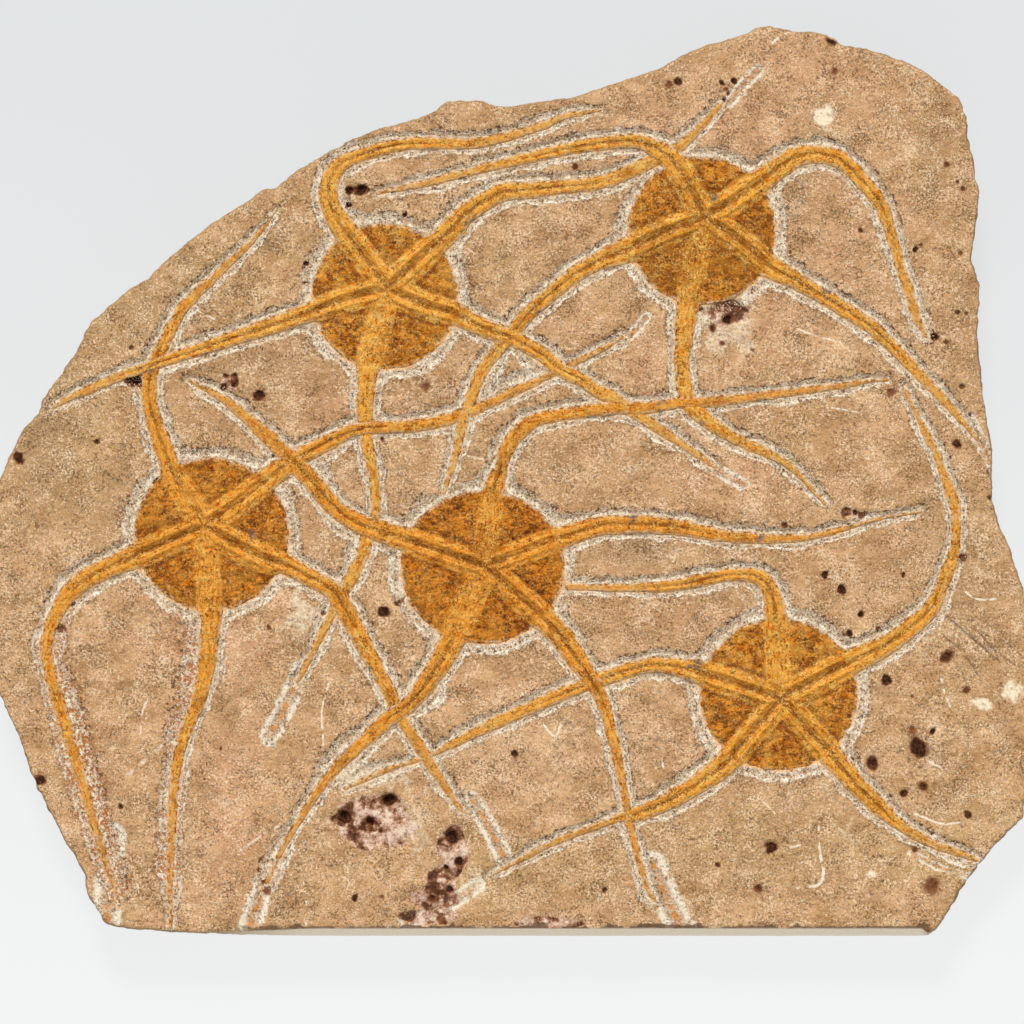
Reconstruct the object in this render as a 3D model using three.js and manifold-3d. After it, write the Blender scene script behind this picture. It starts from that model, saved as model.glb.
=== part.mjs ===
// A slab of fine sandy stone with five fossil brittle stars standing in relief on its face.
// The slab lies on its back: +Z is up out of the face, and the origin is the middle of the
// underside. Each star is a separate body of darker mineral, let into the stone.

import * as THREE from "three";
import { mergeVertices } from "three/addons/utils/BufferGeometryUtils.js";
import Module from "manifold-3d";

const wasm = await Module();
wasm.setup();

// Driving dimensions, in millimetres.
const FACE_HEIGHT = 21; // general level of the stone face above the underside
const EDGE_BEVEL = 1.4; // worn top and bottom edges of the slab
const SAW_FOOT = -160.2; // Y of the sawn plane where it meets the underside
const SAW_LEAN = 3.3; // how far the sawn side leans back between underside and face
const GROOVE_WIDTH = 2.6; // channel that the preparator cleared round every fossil
const GROOVE_DEPTH = 1.3; // floor of that channel below the face
const ARM_PROUD = 0.4; // top of an arm above the face
const DISC_PROUD = 1.3; // top of a disc above the face
const BED_DEPTH = 2; // depth of the uppermost star below the face
const BED_STEP = 1.5; // each star lies this much deeper than the one that crosses over it
const FIT_GAP = 0.3; // clearance between separate solids
const FOSSIL_TOLERANCE = 0.7; // how far a straight stretch of an arm may cut its curve's corner
const GROOVE_TOLERANCE = 3; // the same for the channel beside it
const DISC_STEPS = 12; // straight sides in half a disc
const OVERCUT = 4; // how far cutting solids reach past the surface they open

// Broken outline of the slab, clockwise from its left-hand end.
const SLAB_OUTLINE = [
  [-182, -5], [-179.2, 0.7], [-175.7, 9.8], [-172.9, 15.4], [-170, 19.9], [-165.9, 24.1],
  [-164.5, 29], [-160.3, 35], [-157.5, 38.8], [-152.6, 46.2], [-148, 56.3], [-143.4, 59.8],
  [-134.3, 67.5], [-127.3, 72.1], [-116.5, 82], [-105, 91], [-95, 97.3], [-87, 102.5],
  [-83, 103.3], [-74.5, 110], [-65.5, 115.2], [-58, 119.7], [-46, 124.6], [-40.3, 125.5],
  [-30, 128.9], [-23, 133], [-18, 133.9], [-11, 133.9], [-1, 131.5], [5.6, 133],
  [22.4, 135.5], [40.6, 141.8], [50, 144.5], [60.2, 150.1], [70, 153.8], [80.5, 157],
  [85.4, 159.4], [90, 160], [97.3, 158.7], [107, 158], [113.3, 155.7], [115.5, 153.4],
  [121.8, 152.9], [135.8, 148], [144.2, 144.2], [152.6, 138.4], [156.8, 135.1],
  [159.7, 127.7], [160, 120], [162.4, 109.5], [164.1, 99.7], [162.4, 84.3], [160.9, 78],
  [164.2, 68.9], [163.1, 51.8], [165.2, 31.5], [168.3, 11.2], [168.3, -6.3], [170.4, -13.9],
  [174.9, -24.6], [179.2, -37.1], [182, -60], [182, -100], [179.2, -117.7], [169.2, -127.4],
  [160, -140], [152, -152], [146.5, -160], [-82, -160], [-115.2, -158.4], [-133.5, -156.6],
  [-142.1, -155.1], [-149.7, -144],
  [-149.5, -137.7], [-156.3, -126.3], [-162.3, -115.5], [-168.3, -103], [-173.5, -88.6],
  [-179.2, -76], [-182, -66],
];

// The stars, uppermost first: where arms cross, the arm of the earlier star lies on top.
// disc is [x, y, half width, half height]. The five arms meet at the hub. Each is a smooth
// route from there, through the listed points, [x, y, width], to its tip.
const STARS = [
  {
    name: "brittle_star_centre",
    disc: [-10.3, -29.8, 28.6, 26.8],
    hub: [-9.6, -29.6],
    arms: [
      [
        [-8.3, -16, 8], [-6.2, -2, 7], [-3.8, 5, 4.6], [-1.8, 12, 5.2], [4, 19, 5.4],
        [12, 22.7, 4.6], [34, 25.8, 4.4], [46, 26, 4.2], [60, 28, 4], [72, 28.4, 3.6],
        [112, 33.3, 2.2], [123, 35.2, 1.6], [131.2, 35.7, 0.8],
      ],
      [
        [13, -21, 8], [28, -16, 6.8], [36, -14.8, 6.6], [55, -15.3, 6], [75, -18.9, 4.2],
        [95, -19.8, 3.1], [110, -18, 2], [128, -13, 1], [143, -10.4, 0.6],
      ],
      [
        [14, -50.5, 8.5], [22, -61, 7.5], [31.8, -77, 4.8], [38.7, -105, 3],
        [40.8, -118, 3], [47, -140.5, 1.8], [50, -146.5, 1],
      ],
      [
        [-21, -55.5, 9], [-34, -75.5, 6], [-46, -85.2, 5.4], [-64, -103, 3.6],
        [-78, -124, 2], [-86, -140, 1],
      ],
      [
        [-36, -20.5, 8.5], [-58, -12, 6.5], [-73.5, 4, 6.5], [-96.5, 25.7, 3.6],
        [-113, 35.7, 0.8],
      ],
    ],
  },
  {
    name: "brittle_star_upper_right",
    disc: [66.5, 88, 25.7, 25.7],
    hub: [67.5, 92.5],
    arms: [
      [
        [59, 108.5, 8.5], [54.5, 113.7, 7.4], [49, 117.5, 6], [41, 119.4, 5],
        [20, 116.8, 4.4], [-16, 108.3, 2.8], [-28, 105.1, 2.8], [-47, 101.2, 1],
      ],
      [
        [79, 99.5, 9], [96, 112, 7.8], [103, 114.8, 6.6], [110, 114.5, 6.2],
        [117, 111.3, 5.8], [128.2, 98.5, 5], [131.8, 89.5, 4.2], [141, 60, 3],
        [144.9, 51, 1],
      ],
      [
        [80, 84, 8.5], [91, 75, 8], [100, 70.2, 6], [120, 58.2, 5.2], [130, 50.5, 4.6],
        [151, 28.9, 3.2], [163, 15, 1],
      ],
      [
        [61.6, 62, 8], [60.3, 50, 6], [59.5, 41, 5.2], [62.5, 27.5, 6], [75, 17, 4.4],
        [96, 6.5, 2.8], [109.5, -7.5, 0.8],
      ],
      [
        [54, 87.5, 9], [41, 81.5, 9], [30, 77.2, 6.2], [20, 71.2, 5.6], [6.5, 59.8, 5.4],
        [1, 53, 5], [-9.5, 40.5, 4.4], [-16, 25, 3.6], [-20, 9, 2.6], [-23.8, -4, 1],
      ],
    ],
  },
  {
    name: "brittle_star_left",
    disc: [-105.2, -18.2, 26.9, 26.6],
    hub: [-107.8, -15.4],
    arms: [
      [
        [-117.5, 0.5, 8.5], [-120.5, 8, 7], [-126.2, 25, 5.5], [-127, 32, 5.3],
        [-126, 40, 5], [-118.3, 55.5, 4.1], [-113, 63.3, 3.7], [-92, 83.5, 2.1],
        [-82, 95.8, 0.5],
      ],
      [
        [-95, -6.5, 8.5], [-83, 3, 8], [-76, 7.8, 6.5], [-60, 16.2, 5], [-51.5, 18.8, 4.6],
        [-30, 20.3, 4.3], [-10, 26.8, 3.7], [28.7, 45.1, 2], [38.5, 50.8, 0.8],
      ],
      [
        [-96.5, -22, 9], [-85, -27.5, 9], [-79, -29, 7], [-65, -36.5, 6.3], [-60, -41.5, 7],
        [-50.5, -59.5, 6], [-46.5, -66.5, 4.8], [-40, -79, 5], [-36.5, -86, 4.2],
        [-32.5, -92.5, 4.2], [-20.5, -111, 2.2], [-17, -115.3, 1],
      ],
      [
        [-105.8, -44.5, 8], [-105.4, -49, 6.8], [-108.3, -71, 5.7], [-117, -97, 3.6],
        [-119.4, -130, 2.4], [-119.5, -156, 0.8],
      ],
      [
        [-131.5, -25.8, 8.5], [-140.5, -29.5, 7.4], [-148.5, -33.5, 7], [-155, -39, 6.2],
        [-159.8, -46.5, 5], [-162.6, -55.5, 4.2], [-162.3, -64.5, 4], [-157.5, -81, 4.4],
        [-143, -130, 2.3], [-137.3, -147, 0.7],
      ],
    ],
  },
  {
    name: "brittle_star_lower_right",
    disc: [93.3, -74.4, 27.4, 26.6],
    hub: [94, -76],
    arms: [
      [
        [92.3, -48, 8], [91.7, -42, 6.8], [90, -37, 6], [86.8, -33.6, 5.4],
        [81.5, -32.2, 4.8], [74, -32.8, 4.5], [56, -36.2, 4], [38, -37, 2.8],
        [20, -36.6, 2.2],
      ],
      [
        [118.5, -63, 9], [133, -55.7, 7], [145.5, -45.5, 6], [149.5, -38.5, 4.6],
        [152, -32, 5], [154.5, -25.5, 4], [155.5, -17.5, 3], [155.2, -9, 3.5],
        [153.2, -2.5, 3.8], [148.5, 10, 2.4], [145.5, 16, 2.8], [136.8, 33.9, 0.8],
      ],
      [
        [111.5, -95.5, 8.5], [116, -100.7, 7.5], [120.5, -106, 7], [129.5, -114.5, 6],
        [134.5, -119, 4], [145, -125.6, 3.2], [162.5, -132, 1.8],
      ],
      [
        [76, -97, 8.5], [65, -105.5, 7], [53, -112.5, 6], [42, -116.6, 5],
        [37.5, -117.4, 3], [32, -119.5, 2.2], [15, -126, 2.2], [-8, -138, 0.6],
      ],
      [
        [67, -67, 8.5], [61, -65.3, 7], [49.5, -63.9, 5.2], [36.5, -67.2, 5.2],
        [20, -73.3, 4.6], [-7, -84.8, 4.2], [-28, -95.2, 1.8], [-42, -100, 1.6],
        [-49, -103, 2], [-58.5, -107.3, 0.6],
      ],
    ],
  },
  {
    name: "brittle_star_upper_left",
    disc: [-44.5, 65, 25.5, 25.5],
    hub: [-43.5, 67.5],
    arms: [
      [
        [-58.5, 88, 8.5], [-62.5, 95, 7], [-64.3, 101, 6.5], [-62.5, 108, 6], [-57, 113, 5],
        [-38, 118.2, 4.4], [-12, 118.9, 3.6], [10, 124.5, 2.8], [18, 127.9, 2.2],
        [31, 130.3, 0.8],
      ],
      [
        [-33, 77.5, 9], [-21.3, 88.3, 7.8], [-15.5, 94.5, 7], [-4, 101.2, 6.2],
        [5, 102.2, 5.6], [30, 104.7, 4.6], [40, 108.2, 5], [56, 116, 4], [62, 120.3, 3.4],
        [71, 130, 2], [73.5, 133, 1],
      ],
      [
        [-31, 62, 9], [-20, 58.8, 7.6], [-10, 54, 6.5], [0, 50.5, 6], [10, 45, 5.2],
        [17, 39.5, 5], [24.4, 35.7, 4.8], [30, 31.8, 4.6], [38, 27.5, 4.8], [71, 5.5, 1.5],
      ],
      [
        [-49.5, 44, 8.5], [-50.8, 36, 6.8], [-51.3, 19, 5], [-47.6, -6, 3.3],
        [-51, -21, 4.6], [-53.5, -28, 4.3], [-57, -35, 4.8], [-61.5, -43, 3.5],
        [-72.8, -65.5, 2], [-75.3, -69.8, 1],
      ],
      [
        [-57, 64.3, 8.5], [-80, 56.2, 6.2], [-130, 39.6, 3.6], [-150, 31.8, 3],
        [-160.5, 26.3, 1],
      ],
    ],
  },
];

function toSolid(geometry) {
  geometry.deleteAttribute("normal");
  geometry.deleteAttribute("uv");
  const merged = mergeVertices(geometry);
  return new wasm.Manifold(
    new wasm.Mesh({
      numProp: 3,
      vertProperties: new Float32Array(merged.attributes.position.array),
      triVerts: new Uint32Array(merged.index.array),
    }),
  );
}

function toGeometry(solid) {
  const mesh = solid.getMesh();
  const geometry = new THREE.BufferGeometry();
  geometry.setAttribute("position", new THREE.BufferAttribute(mesh.vertProperties, 3));
  geometry.setIndex(new THREE.BufferAttribute(mesh.triVerts, 1));
  geometry.computeVertexNormals();
  return geometry;
}

// An upright prism of an outline between two heights.
function prism(shape, low, high) {
  const options = { depth: high - low, bevelEnabled: false, curveSegments: DISC_STEPS };
  return toSolid(new THREE.ExtrudeGeometry(shape, options).translate(0, 0, low));
}

function discOutline([x, y, halfWidth, halfHeight], spread) {
  const shape = new THREE.Shape();
  shape.absellipse(x, y, halfWidth + spread, halfHeight + spread, 0, 2 * Math.PI);
  return shape;
}

// An arm's stations, [x, y, width] as vectors: its listed points, and the middle of every
// stretch between them that bends away from a straight line.
function armStations(hub, arm, tolerance) {
  const listed = [[...hub, arm[0][2]], ...arm].map((point) => new THREE.Vector3(...point));
  const curve = new THREE.CatmullRomCurve3(listed, false, "catmullrom");
  const stations = [listed[0]];
  for (let i = 1; i < listed.length; i++) {
    const middle = curve.getPoint((i - 0.5) / (listed.length - 1));
    const straight = listed[i - 1].clone().lerp(listed[i], 0.5);
    if (middle.distanceTo(straight) > tolerance) {
      stations.push(middle);
    }
    stations.push(listed[i]);
  }
  return stations;
}

// A tapered band along an arm's route, made wider on every side by spread.
function armOutline(hub, arm, spread, tolerance) {
  const stations = armStations(hub, arm, tolerance);
  const last = stations.length - 1;
  const left = [];
  const right = [];
  stations.forEach((station, i) => {
    const back = stations[Math.max(i - 1, 0)];
    const ahead = stations[Math.min(i + 1, last)];
    const along = new THREE.Vector2(ahead.x - back.x, ahead.y - back.y).normalize();
    const halfWidth = station.z / 2 + spread;
    const across = new THREE.Vector2(-along.y, along.x).multiplyScalar(halfWidth);
    const middle = new THREE.Vector2(station.x, station.y);
    if (i === last) {
      middle.addScaledVector(along, spread);
    }
    left.push(middle.clone().add(across));
    right.push(middle.clone().sub(across));
  });
  return new THREE.Shape([...left, ...right.reverse()]);
}

// A star as a solid: its disc and its five arms, grown by spread, from low upwards.
function starSolid(star, { spread, low, discTop, armTop, tolerance }) {
  let solid = prism(discOutline(star.disc, spread), low, discTop);
  for (const arm of star.arms) {
    solid = solid.add(prism(armOutline(star.hub, arm, spread, tolerance), low, armTop));
  }
  return solid;
}

function bedHeight(order) {
  return FACE_HEIGHT - BED_DEPTH - order * BED_STEP;
}

function starBody(star, order) {
  return starSolid(star, {
    spread: 0,
    low: bedHeight(order),
    discTop: FACE_HEIGHT + DISC_PROUD,
    armTop: FACE_HEIGHT + ARM_PROUD,
    tolerance: FOSSIL_TOLERANCE,
  });
}

// The space a star needs in everything it lies in or passes over.
function starRoom(star, order) {
  return starSolid(star, {
    spread: FIT_GAP,
    low: bedHeight(order) - FIT_GAP,
    discTop: FACE_HEIGHT + OVERCUT,
    armTop: FACE_HEIGHT + OVERCUT,
    tolerance: FOSSIL_TOLERANCE,
  });
}

// The channel that the preparator cleared round a star.
function starGroove(star) {
  return starSolid(star, {
    spread: GROOVE_WIDTH,
    low: FACE_HEIGHT - GROOVE_DEPTH,
    discTop: FACE_HEIGHT + OVERCUT,
    armTop: FACE_HEIGHT + OVERCUT,
    tolerance: GROOVE_TOLERANCE,
  });
}

// The wedge that the saw took off the lower side, so that the side leans back.
function sawWedge() {
  const reach = 200; // past both ends of the slab
  const profile = new THREE.Shape([
    new THREE.Vector2(SAW_FOOT, 0),
    new THREE.Vector2(SAW_FOOT + SAW_LEAN, FACE_HEIGHT),
    new THREE.Vector2(SAW_FOOT + SAW_LEAN, FACE_HEIGHT + OVERCUT),
    new THREE.Vector2(SAW_FOOT - OVERCUT, FACE_HEIGHT + OVERCUT),
    new THREE.Vector2(SAW_FOOT - OVERCUT, 0),
  ]);
  const geometry = new THREE.ExtrudeGeometry(profile, { depth: 2 * reach, bevelEnabled: false });
  geometry.translate(0, 0, -reach);
  geometry.rotateZ(Math.PI / 2);
  geometry.rotateY(Math.PI / 2);
  return toSolid(geometry);
}

function slabBlank() {
  const outline = new THREE.Shape(SLAB_OUTLINE.map(([x, y]) => new THREE.Vector2(x, y)));
  const geometry = new THREE.ExtrudeGeometry(outline, {
    depth: FACE_HEIGHT - 2 * EDGE_BEVEL,
    bevelThickness: EDGE_BEVEL,
    bevelSize: EDGE_BEVEL,
    bevelOffset: -EDGE_BEVEL,
    bevelSegments: 1,
  });
  return toSolid(geometry.translate(0, 0, EDGE_BEVEL));
}

function slabSolid() {
  let solid = slabBlank().subtract(sawWedge());
  STARS.forEach((star, order) => {
    solid = solid.subtract(starGroove(star)).subtract(starRoom(star, order));
  });
  return solid;
}

const sandyStone = new THREE.MeshStandardMaterial({
  name: "sandy_stone",
  color: new THREE.Color("#c19b78"),
  roughness: 0.92,
  metalness: 0,
});
const ochreFossil = new THREE.MeshStandardMaterial({
  name: "ochre_fossil",
  color: new THREE.Color("#c07f2f"),
  roughness: 0.8,
  metalness: 0,
});

function piece(name, solid, material) {
  const mesh = new THREE.Mesh(toGeometry(solid), material);
  mesh.name = name;
  return mesh;
}

const fossilSlab = new THREE.Group();
fossilSlab.name = "fossil_brittle_star_slab";
fossilSlab.add(piece("slab", slabSolid(), sandyStone));
STARS.forEach((star, order) => {
  let solid = starBody(star, order);
  STARS.slice(0, order).forEach((upper, upperOrder) => {
    solid = solid.subtract(starRoom(upper, upperOrder));
  });
  fossilSlab.add(piece(star.name, solid, ochreFossil));
});

export default fossilSlab;
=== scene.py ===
import math
from collections import namedtuple

import bpy
import numpy as np
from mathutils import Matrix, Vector
from mathutils.geometry import delaunay_2d_cdt


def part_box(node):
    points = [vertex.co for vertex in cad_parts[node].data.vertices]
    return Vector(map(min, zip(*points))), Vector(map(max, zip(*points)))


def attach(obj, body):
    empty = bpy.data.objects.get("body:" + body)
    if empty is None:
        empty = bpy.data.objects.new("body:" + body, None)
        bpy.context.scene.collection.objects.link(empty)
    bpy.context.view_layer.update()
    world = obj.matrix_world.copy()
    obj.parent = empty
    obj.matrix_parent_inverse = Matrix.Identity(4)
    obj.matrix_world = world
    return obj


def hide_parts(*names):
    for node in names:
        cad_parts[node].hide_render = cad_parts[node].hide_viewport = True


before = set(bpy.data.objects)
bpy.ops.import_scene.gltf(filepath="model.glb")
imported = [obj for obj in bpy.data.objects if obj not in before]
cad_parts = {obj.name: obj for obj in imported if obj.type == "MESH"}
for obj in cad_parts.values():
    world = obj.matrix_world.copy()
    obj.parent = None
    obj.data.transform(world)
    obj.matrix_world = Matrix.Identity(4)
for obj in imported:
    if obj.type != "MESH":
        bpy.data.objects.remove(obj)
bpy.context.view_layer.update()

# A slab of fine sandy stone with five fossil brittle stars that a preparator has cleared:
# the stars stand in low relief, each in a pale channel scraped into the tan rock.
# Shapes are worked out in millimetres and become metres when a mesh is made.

MM = 0.001
SLAB_LOW, SLAB_HIGH = (np.array(corner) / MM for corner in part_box("slab"))
FACE = SLAB_HIGH[2]  # level of the stone face

# ---- driving dimensions, in millimetres

VIEW_WIDTH = 358.4  # width of stone that the camera takes in
VIEW_MIDDLE = (0.0, -10.5)
VIEW_DISTANCE = 4000.0
FLOOR_REACH = 6000.0  # of the studio floor, from the middle
FLOOR_GAP = 0.2  # how far the floor lies below the slab
DULLNESS = 0.15  # how much plain reflection every surface has

ROUTE_STEP = 0.5  # spacing of the stations along an arm
BESIDE = 14.0  # how far from an arm anything still depends on it
RIM_WEAR = 0.7  # how far the face draws in from the broken sides
SAW_LEAN = 3.3  # how far the sawn side leans back
SAW_BEGINS = (-122.0, -66.0)  # where along X the broken side turns into the sawn one
SAW_STOPS = (149.0, 144.0)  # and where it turns back
OUTLINE_STEP = 1.02  # spacing of the points round the slab

FOSSIL_SPACING = 0.36  # mesh spacing on the fossils
FOSSIL_ROOT = 2.8  # depth of a fossil's hidden base below the face
FOSSIL_FILLET = 1.6  # rounding where an arm leaves its disc
EDGE_WOBBLE = 0.36  # unevenness of a fossil's edge

CHANNEL_WIDTH = 2.5  # cleared channel beside an arm
DISC_CHANNEL_EXTRA = 1.5  # how much wider it is round a disc
CHANNEL_DEPTH = 1.2
HIDDEN_DEPTH = 2.0  # the stone's own surface underneath a fossil

LIGHT_GRAINS, DARK_GRAINS = 0.85, 0.16  # grains on a square millimetre of channel
GRAIN_SIZE = 0.6  # radius of the ball that a grain is pressed from
KNOB_SPACING = 1.05
KNOB_WIDTH = 0.62
KNOB_SINK = 0.12  # depth of a knob's middle below the crest
# ---- the stars, uppermost first
# disc is x, y, half width and half height. Each arm runs from the hub through its listed
# points, x, y and width, to its tip. "ridges" says how clearly each arm's twin ridges show
# across the disc, "furrow" how far beyond the disc the furrow between them lasts, and
# "levels" which of two crossing arms lies on top, the one with the lower number.

STARS = [
    dict(
        node="brittle_star_centre",
        disc=(-10.3, -29.8, 28.6, 26.8),
        hub=(-9.6, -29.6),
        ridges=(0.15, 0.65, 1, 0.25, 1),
        furrow=(10, 60, 45, 40, 60),
        redness=1,
        levels=(0, 0, 0, 0, 0),
        arms=[
            [(-8.3, -16, 8), (-6.2, -2, 7), (-3.8, 5, 4.6), (-1.8, 12, 5.2), (4, 19, 5.4),
             (12, 22.7, 4.6), (34, 25.8, 4.4), (46, 26, 4.2), (60, 28, 4), (72, 28.4, 3.6),
             (112, 33.3, 2.2), (123, 35.2, 1.6), (131.2, 35.7, 0.8)],
            [(13, -21, 8), (28, -16, 6.8), (36, -14.8, 6.6), (55, -15.3, 6), (75, -18.9, 4.2),
             (95, -19.8, 3.1), (110, -18, 2), (128, -13, 1), (143, -10.4, 0.6)],
            [(14, -50.5, 8.5), (22, -61, 7.5), (31.8, -77, 4.8), (38.7, -105, 3),
             (40.8, -118, 3), (47, -140.5, 1.8), (50, -146.5, 1)],
            [(-21, -55.5, 9), (-34, -75.5, 6), (-46, -85.2, 5.4), (-64, -103, 3.6),
             (-78, -124, 2), (-86, -140, 1)],
            [(-36, -20.5, 8.5), (-58, -12, 6.5), (-73.5, 4, 6.5), (-96.5, 25.7, 3.6),
             (-113, 35.7, 0.8)],
        ],
    ),
    dict(
        node="brittle_star_upper_right",
        disc=(66.5, 88, 25.7, 25.7),
        hub=(67.5, 92.5),
        ridges=(1, 1, 0.9, 0.2, 1),
        furrow=(60, 75, 70, 0, 60),
        redness=0.15,
        levels=(1, 1, 1, 1, 1),
        arms=[
            [(59, 108.5, 8.5), (54.5, 113.7, 7.4), (49, 117.5, 6), (41, 119.4, 5),
             (20, 116.8, 4.4), (-16, 108.3, 2.8), (-28, 105.1, 2.8), (-47, 101.2, 1)],
            [(79, 99.5, 9), (96, 112, 7.8), (103, 114.8, 6.6), (110, 114.5, 6.2),
             (117, 111.3, 5.8), (128.2, 98.5, 5), (131.8, 89.5, 4.2), (141, 60, 3),
             (144.9, 51, 1)],
            [(80, 84, 8.5), (91, 75, 8), (100, 70.2, 6), (120, 58.2, 5.2), (130, 50.5, 4.6),
             (151, 28.9, 3.2), (163, 15, 1)],
            [(61.6, 62, 8), (60.3, 50, 6), (59.5, 41, 5.2), (62.5, 27.5, 6), (75, 17, 4.4),
             (96, 6.5, 2.8), (109.5, -7.5, 0.8)],
            [(54, 87.5, 9), (41, 81.5, 9), (30, 77.2, 6.2), (20, 71.2, 5.6), (6.5, 59.8, 5.4),
             (1, 53, 5), (-9.5, 40.5, 4.4), (-16, 25, 3.6), (-20, 9, 2.6), (-23.8, -4, 1)],
        ],
    ),
    dict(
        node="brittle_star_left",
        disc=(-105.2, -18.2, 26.9, 26.6),
        hub=(-107.8, -15.4),
        ridges=(0.6, 0.7, 1, 0.3, 1),
        furrow=(45, 50, 40, 0, 28),
        redness=0.75,
        levels=(2, 2, 2, 2, 2),
        arms=[
            [(-117.5, 0.5, 8.5), (-120.5, 8, 7), (-126.2, 25, 5.5), (-127, 32, 5.3),
             (-126, 40, 5), (-118.3, 55.5, 4.1), (-113, 63.3, 3.7), (-92, 83.5, 2.1),
             (-82, 95.8, 0.5)],
            [(-95, -6.5, 8.5), (-83, 3, 8), (-76, 7.8, 6.5), (-60, 16.2, 5), (-51.5, 18.8, 4.6),
             (-30, 20.3, 4.3), (-10, 26.8, 3.7), (28.7, 45.1, 2), (38.5, 50.8, 0.8)],
            [(-96.5, -22, 9), (-85, -27.5, 9), (-79, -29, 7), (-65, -36.5, 6.3), (-60, -41.5, 7),
             (-50.5, -59.5, 6), (-46.5, -66.5, 4.8), (-40, -79, 5), (-36.5, -86, 4.2),
             (-32.5, -92.5, 4.2), (-20.5, -111, 2.2), (-17, -115.3, 1)],
            [(-105.8, -44.5, 8), (-105.4, -49, 6.8), (-108.3, -71, 5.7), (-117, -97, 3.6),
             (-119.4, -130, 2.4), (-119.5, -156, 0.8)],
            [(-131.5, -25.8, 8.5), (-140.5, -29.5, 7.4), (-148.5, -33.5, 7), (-155, -39, 6.2),
             (-159.8, -46.5, 5), (-162.6, -55.5, 4.2), (-162.3, -64.5, 4), (-157.5, -81, 4.4),
             (-143, -130, 2.3), (-137.3, -147, 0.7)],
        ],
    ),
    dict(
        node="brittle_star_lower_right",
        disc=(93.3, -74.4, 27.4, 26.6),
        hub=(94, -76),
        ridges=(0.2, 1, 1, 1, 1),
        furrow=(60, 45, 40, 60, 65),
        redness=0.3,
        levels=(3, 3, 3, 3, 3),
        arms=[
            [(92.3, -48, 8), (91.7, -42, 6.8), (90, -37, 6), (86.8, -33.6, 5.4),
             (81.5, -32.2, 4.8), (74, -32.8, 4.5), (56, -36.2, 4), (38, -37, 2.8),
             (20, -36.6, 2.2)],
            [(118.5, -63, 9), (133, -55.7, 7), (145.5, -45.5, 6), (149.5, -38.5, 4.6),
             (152, -32, 5), (154.5, -25.5, 4), (155.5, -17.5, 3), (155.2, -9, 3.5),
             (153.2, -2.5, 3.8), (148.5, 10, 2.4), (145.5, 16, 2.8), (136.8, 33.9, 0.8)],
            [(111.5, -95.5, 8.5), (116, -100.7, 7.5), (120.5, -106, 7), (129.5, -114.5, 6),
             (134.5, -119, 4), (145, -125.6, 3.2), (162.5, -132, 1.8)],
            [(76, -97, 8.5), (65, -105.5, 7), (53, -112.5, 6), (42, -116.6, 5),
             (37.5, -117.4, 3), (32, -119.5, 2.2), (15, -126, 2.2), (-8, -138, 0.6)],
            [(67, -67, 8.5), (61, -65.3, 7), (49.5, -63.9, 5.2), (36.5, -67.2, 5.2),
             (20, -73.3, 4.6), (-7, -84.8, 4.2), (-28, -95.2, 1.8), (-42, -100, 1.6),
             (-49, -103, 2), (-58.5, -107.3, 0.6)],
        ],
    ),
    dict(
        node="brittle_star_upper_left",
        disc=(-44.5, 65, 25.5, 25.5),
        hub=(-43.5, 67.5),
        ridges=(1, 1, 1, 0.2, 1),
        furrow=(70, 75, 60, 0, 70),
        redness=0.1,
        levels=(4, 4, 0.5, 4, 0.5),
        arms=[
            [(-58.5, 88, 8.5), (-62.5, 95, 7), (-64.3, 101, 6.5), (-62.5, 108, 6), (-57, 113, 5),
             (-38, 118.2, 4.4), (-12, 118.9, 3.6), (10, 124.5, 2.8), (18, 127.9, 2.2),
             (31, 130.3, 0.8)],
            [(-33, 77.5, 9), (-21.3, 88.3, 7.8), (-15.5, 94.5, 7), (-4, 101.2, 6.2),
             (5, 102.2, 5.6), (30, 104.7, 4.6), (40, 108.2, 5), (56, 116, 4), (62, 120.3, 3.4),
             (71, 130, 2), (73.5, 133, 1)],
            [(-31, 62, 9), (-20, 58.8, 7.6), (-10, 54, 6.5), (0, 50.5, 6), (10, 45, 5.2),
             (17, 39.5, 5), (24.4, 35.7, 4.8), (30, 31.8, 4.6), (38, 27.5, 4.8), (71, 5.5, 1.5)],
            [(-49.5, 44, 8.5), (-50.8, 36, 6.8), (-51.3, 19, 5), (-47.6, -6, 3.3),
             (-51, -21, 4.6), (-53.5, -28, 4.3), (-57, -35, 4.8), (-61.5, -43, 3.5),
             (-72.8, -65.5, 2), (-75.3, -69.8, 1)],
            [(-57, 64.3, 8.5), (-80, 56.2, 6.2), (-130, 39.6, 3.6), (-150, 31.8, 3),
             (-160.5, 26.3, 1)],
        ],
    ),
]

# ---- what lies about on the stone, in millimetres

# Places where more was cleared beside a fossil: x, y, reach and how much wider.
WIDE_CLEARINGS = [
    (-152, -58, 12, 1.6), (-151, -76, 13, 2.0), (-146, -95, 14, 2.2), (-141, -115, 14, 2.2),
    (-136, -135, 12, 2.0), (-120, -56, 9, 3.0), (-122, -70, 10, 3.4), (-124, -86, 9, 1.6),
    (-119, -110, 12, 0.9), (-120, -135, 12, 0.9), (-58, -20, 8, 2.2), (-63, 6, 7, 1.6),
    (-18, 22, 7, 1.6), (-24, -78, 8, 2.2), (-36, -66, 6, 1.0), (71, 66, 7, 3.2),
    (-60, -96, 10, 2.6), (-88, -132, 9, 1.6), (45, -150, 9, 1.6), (-44, 84, 6, 1.4),
    (88, 132, 7, 1.2), (149, 60, 9, 1.0), (158, -140, 8, 1.0), (-167, 74, 8, 1.0),
    (-4, 36, 6, 2.2), (5, 37, 6, 2.2),
]

# The loose grains in these places are rusty as far as this along X.
RUSTY_SIDE = -110

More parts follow.
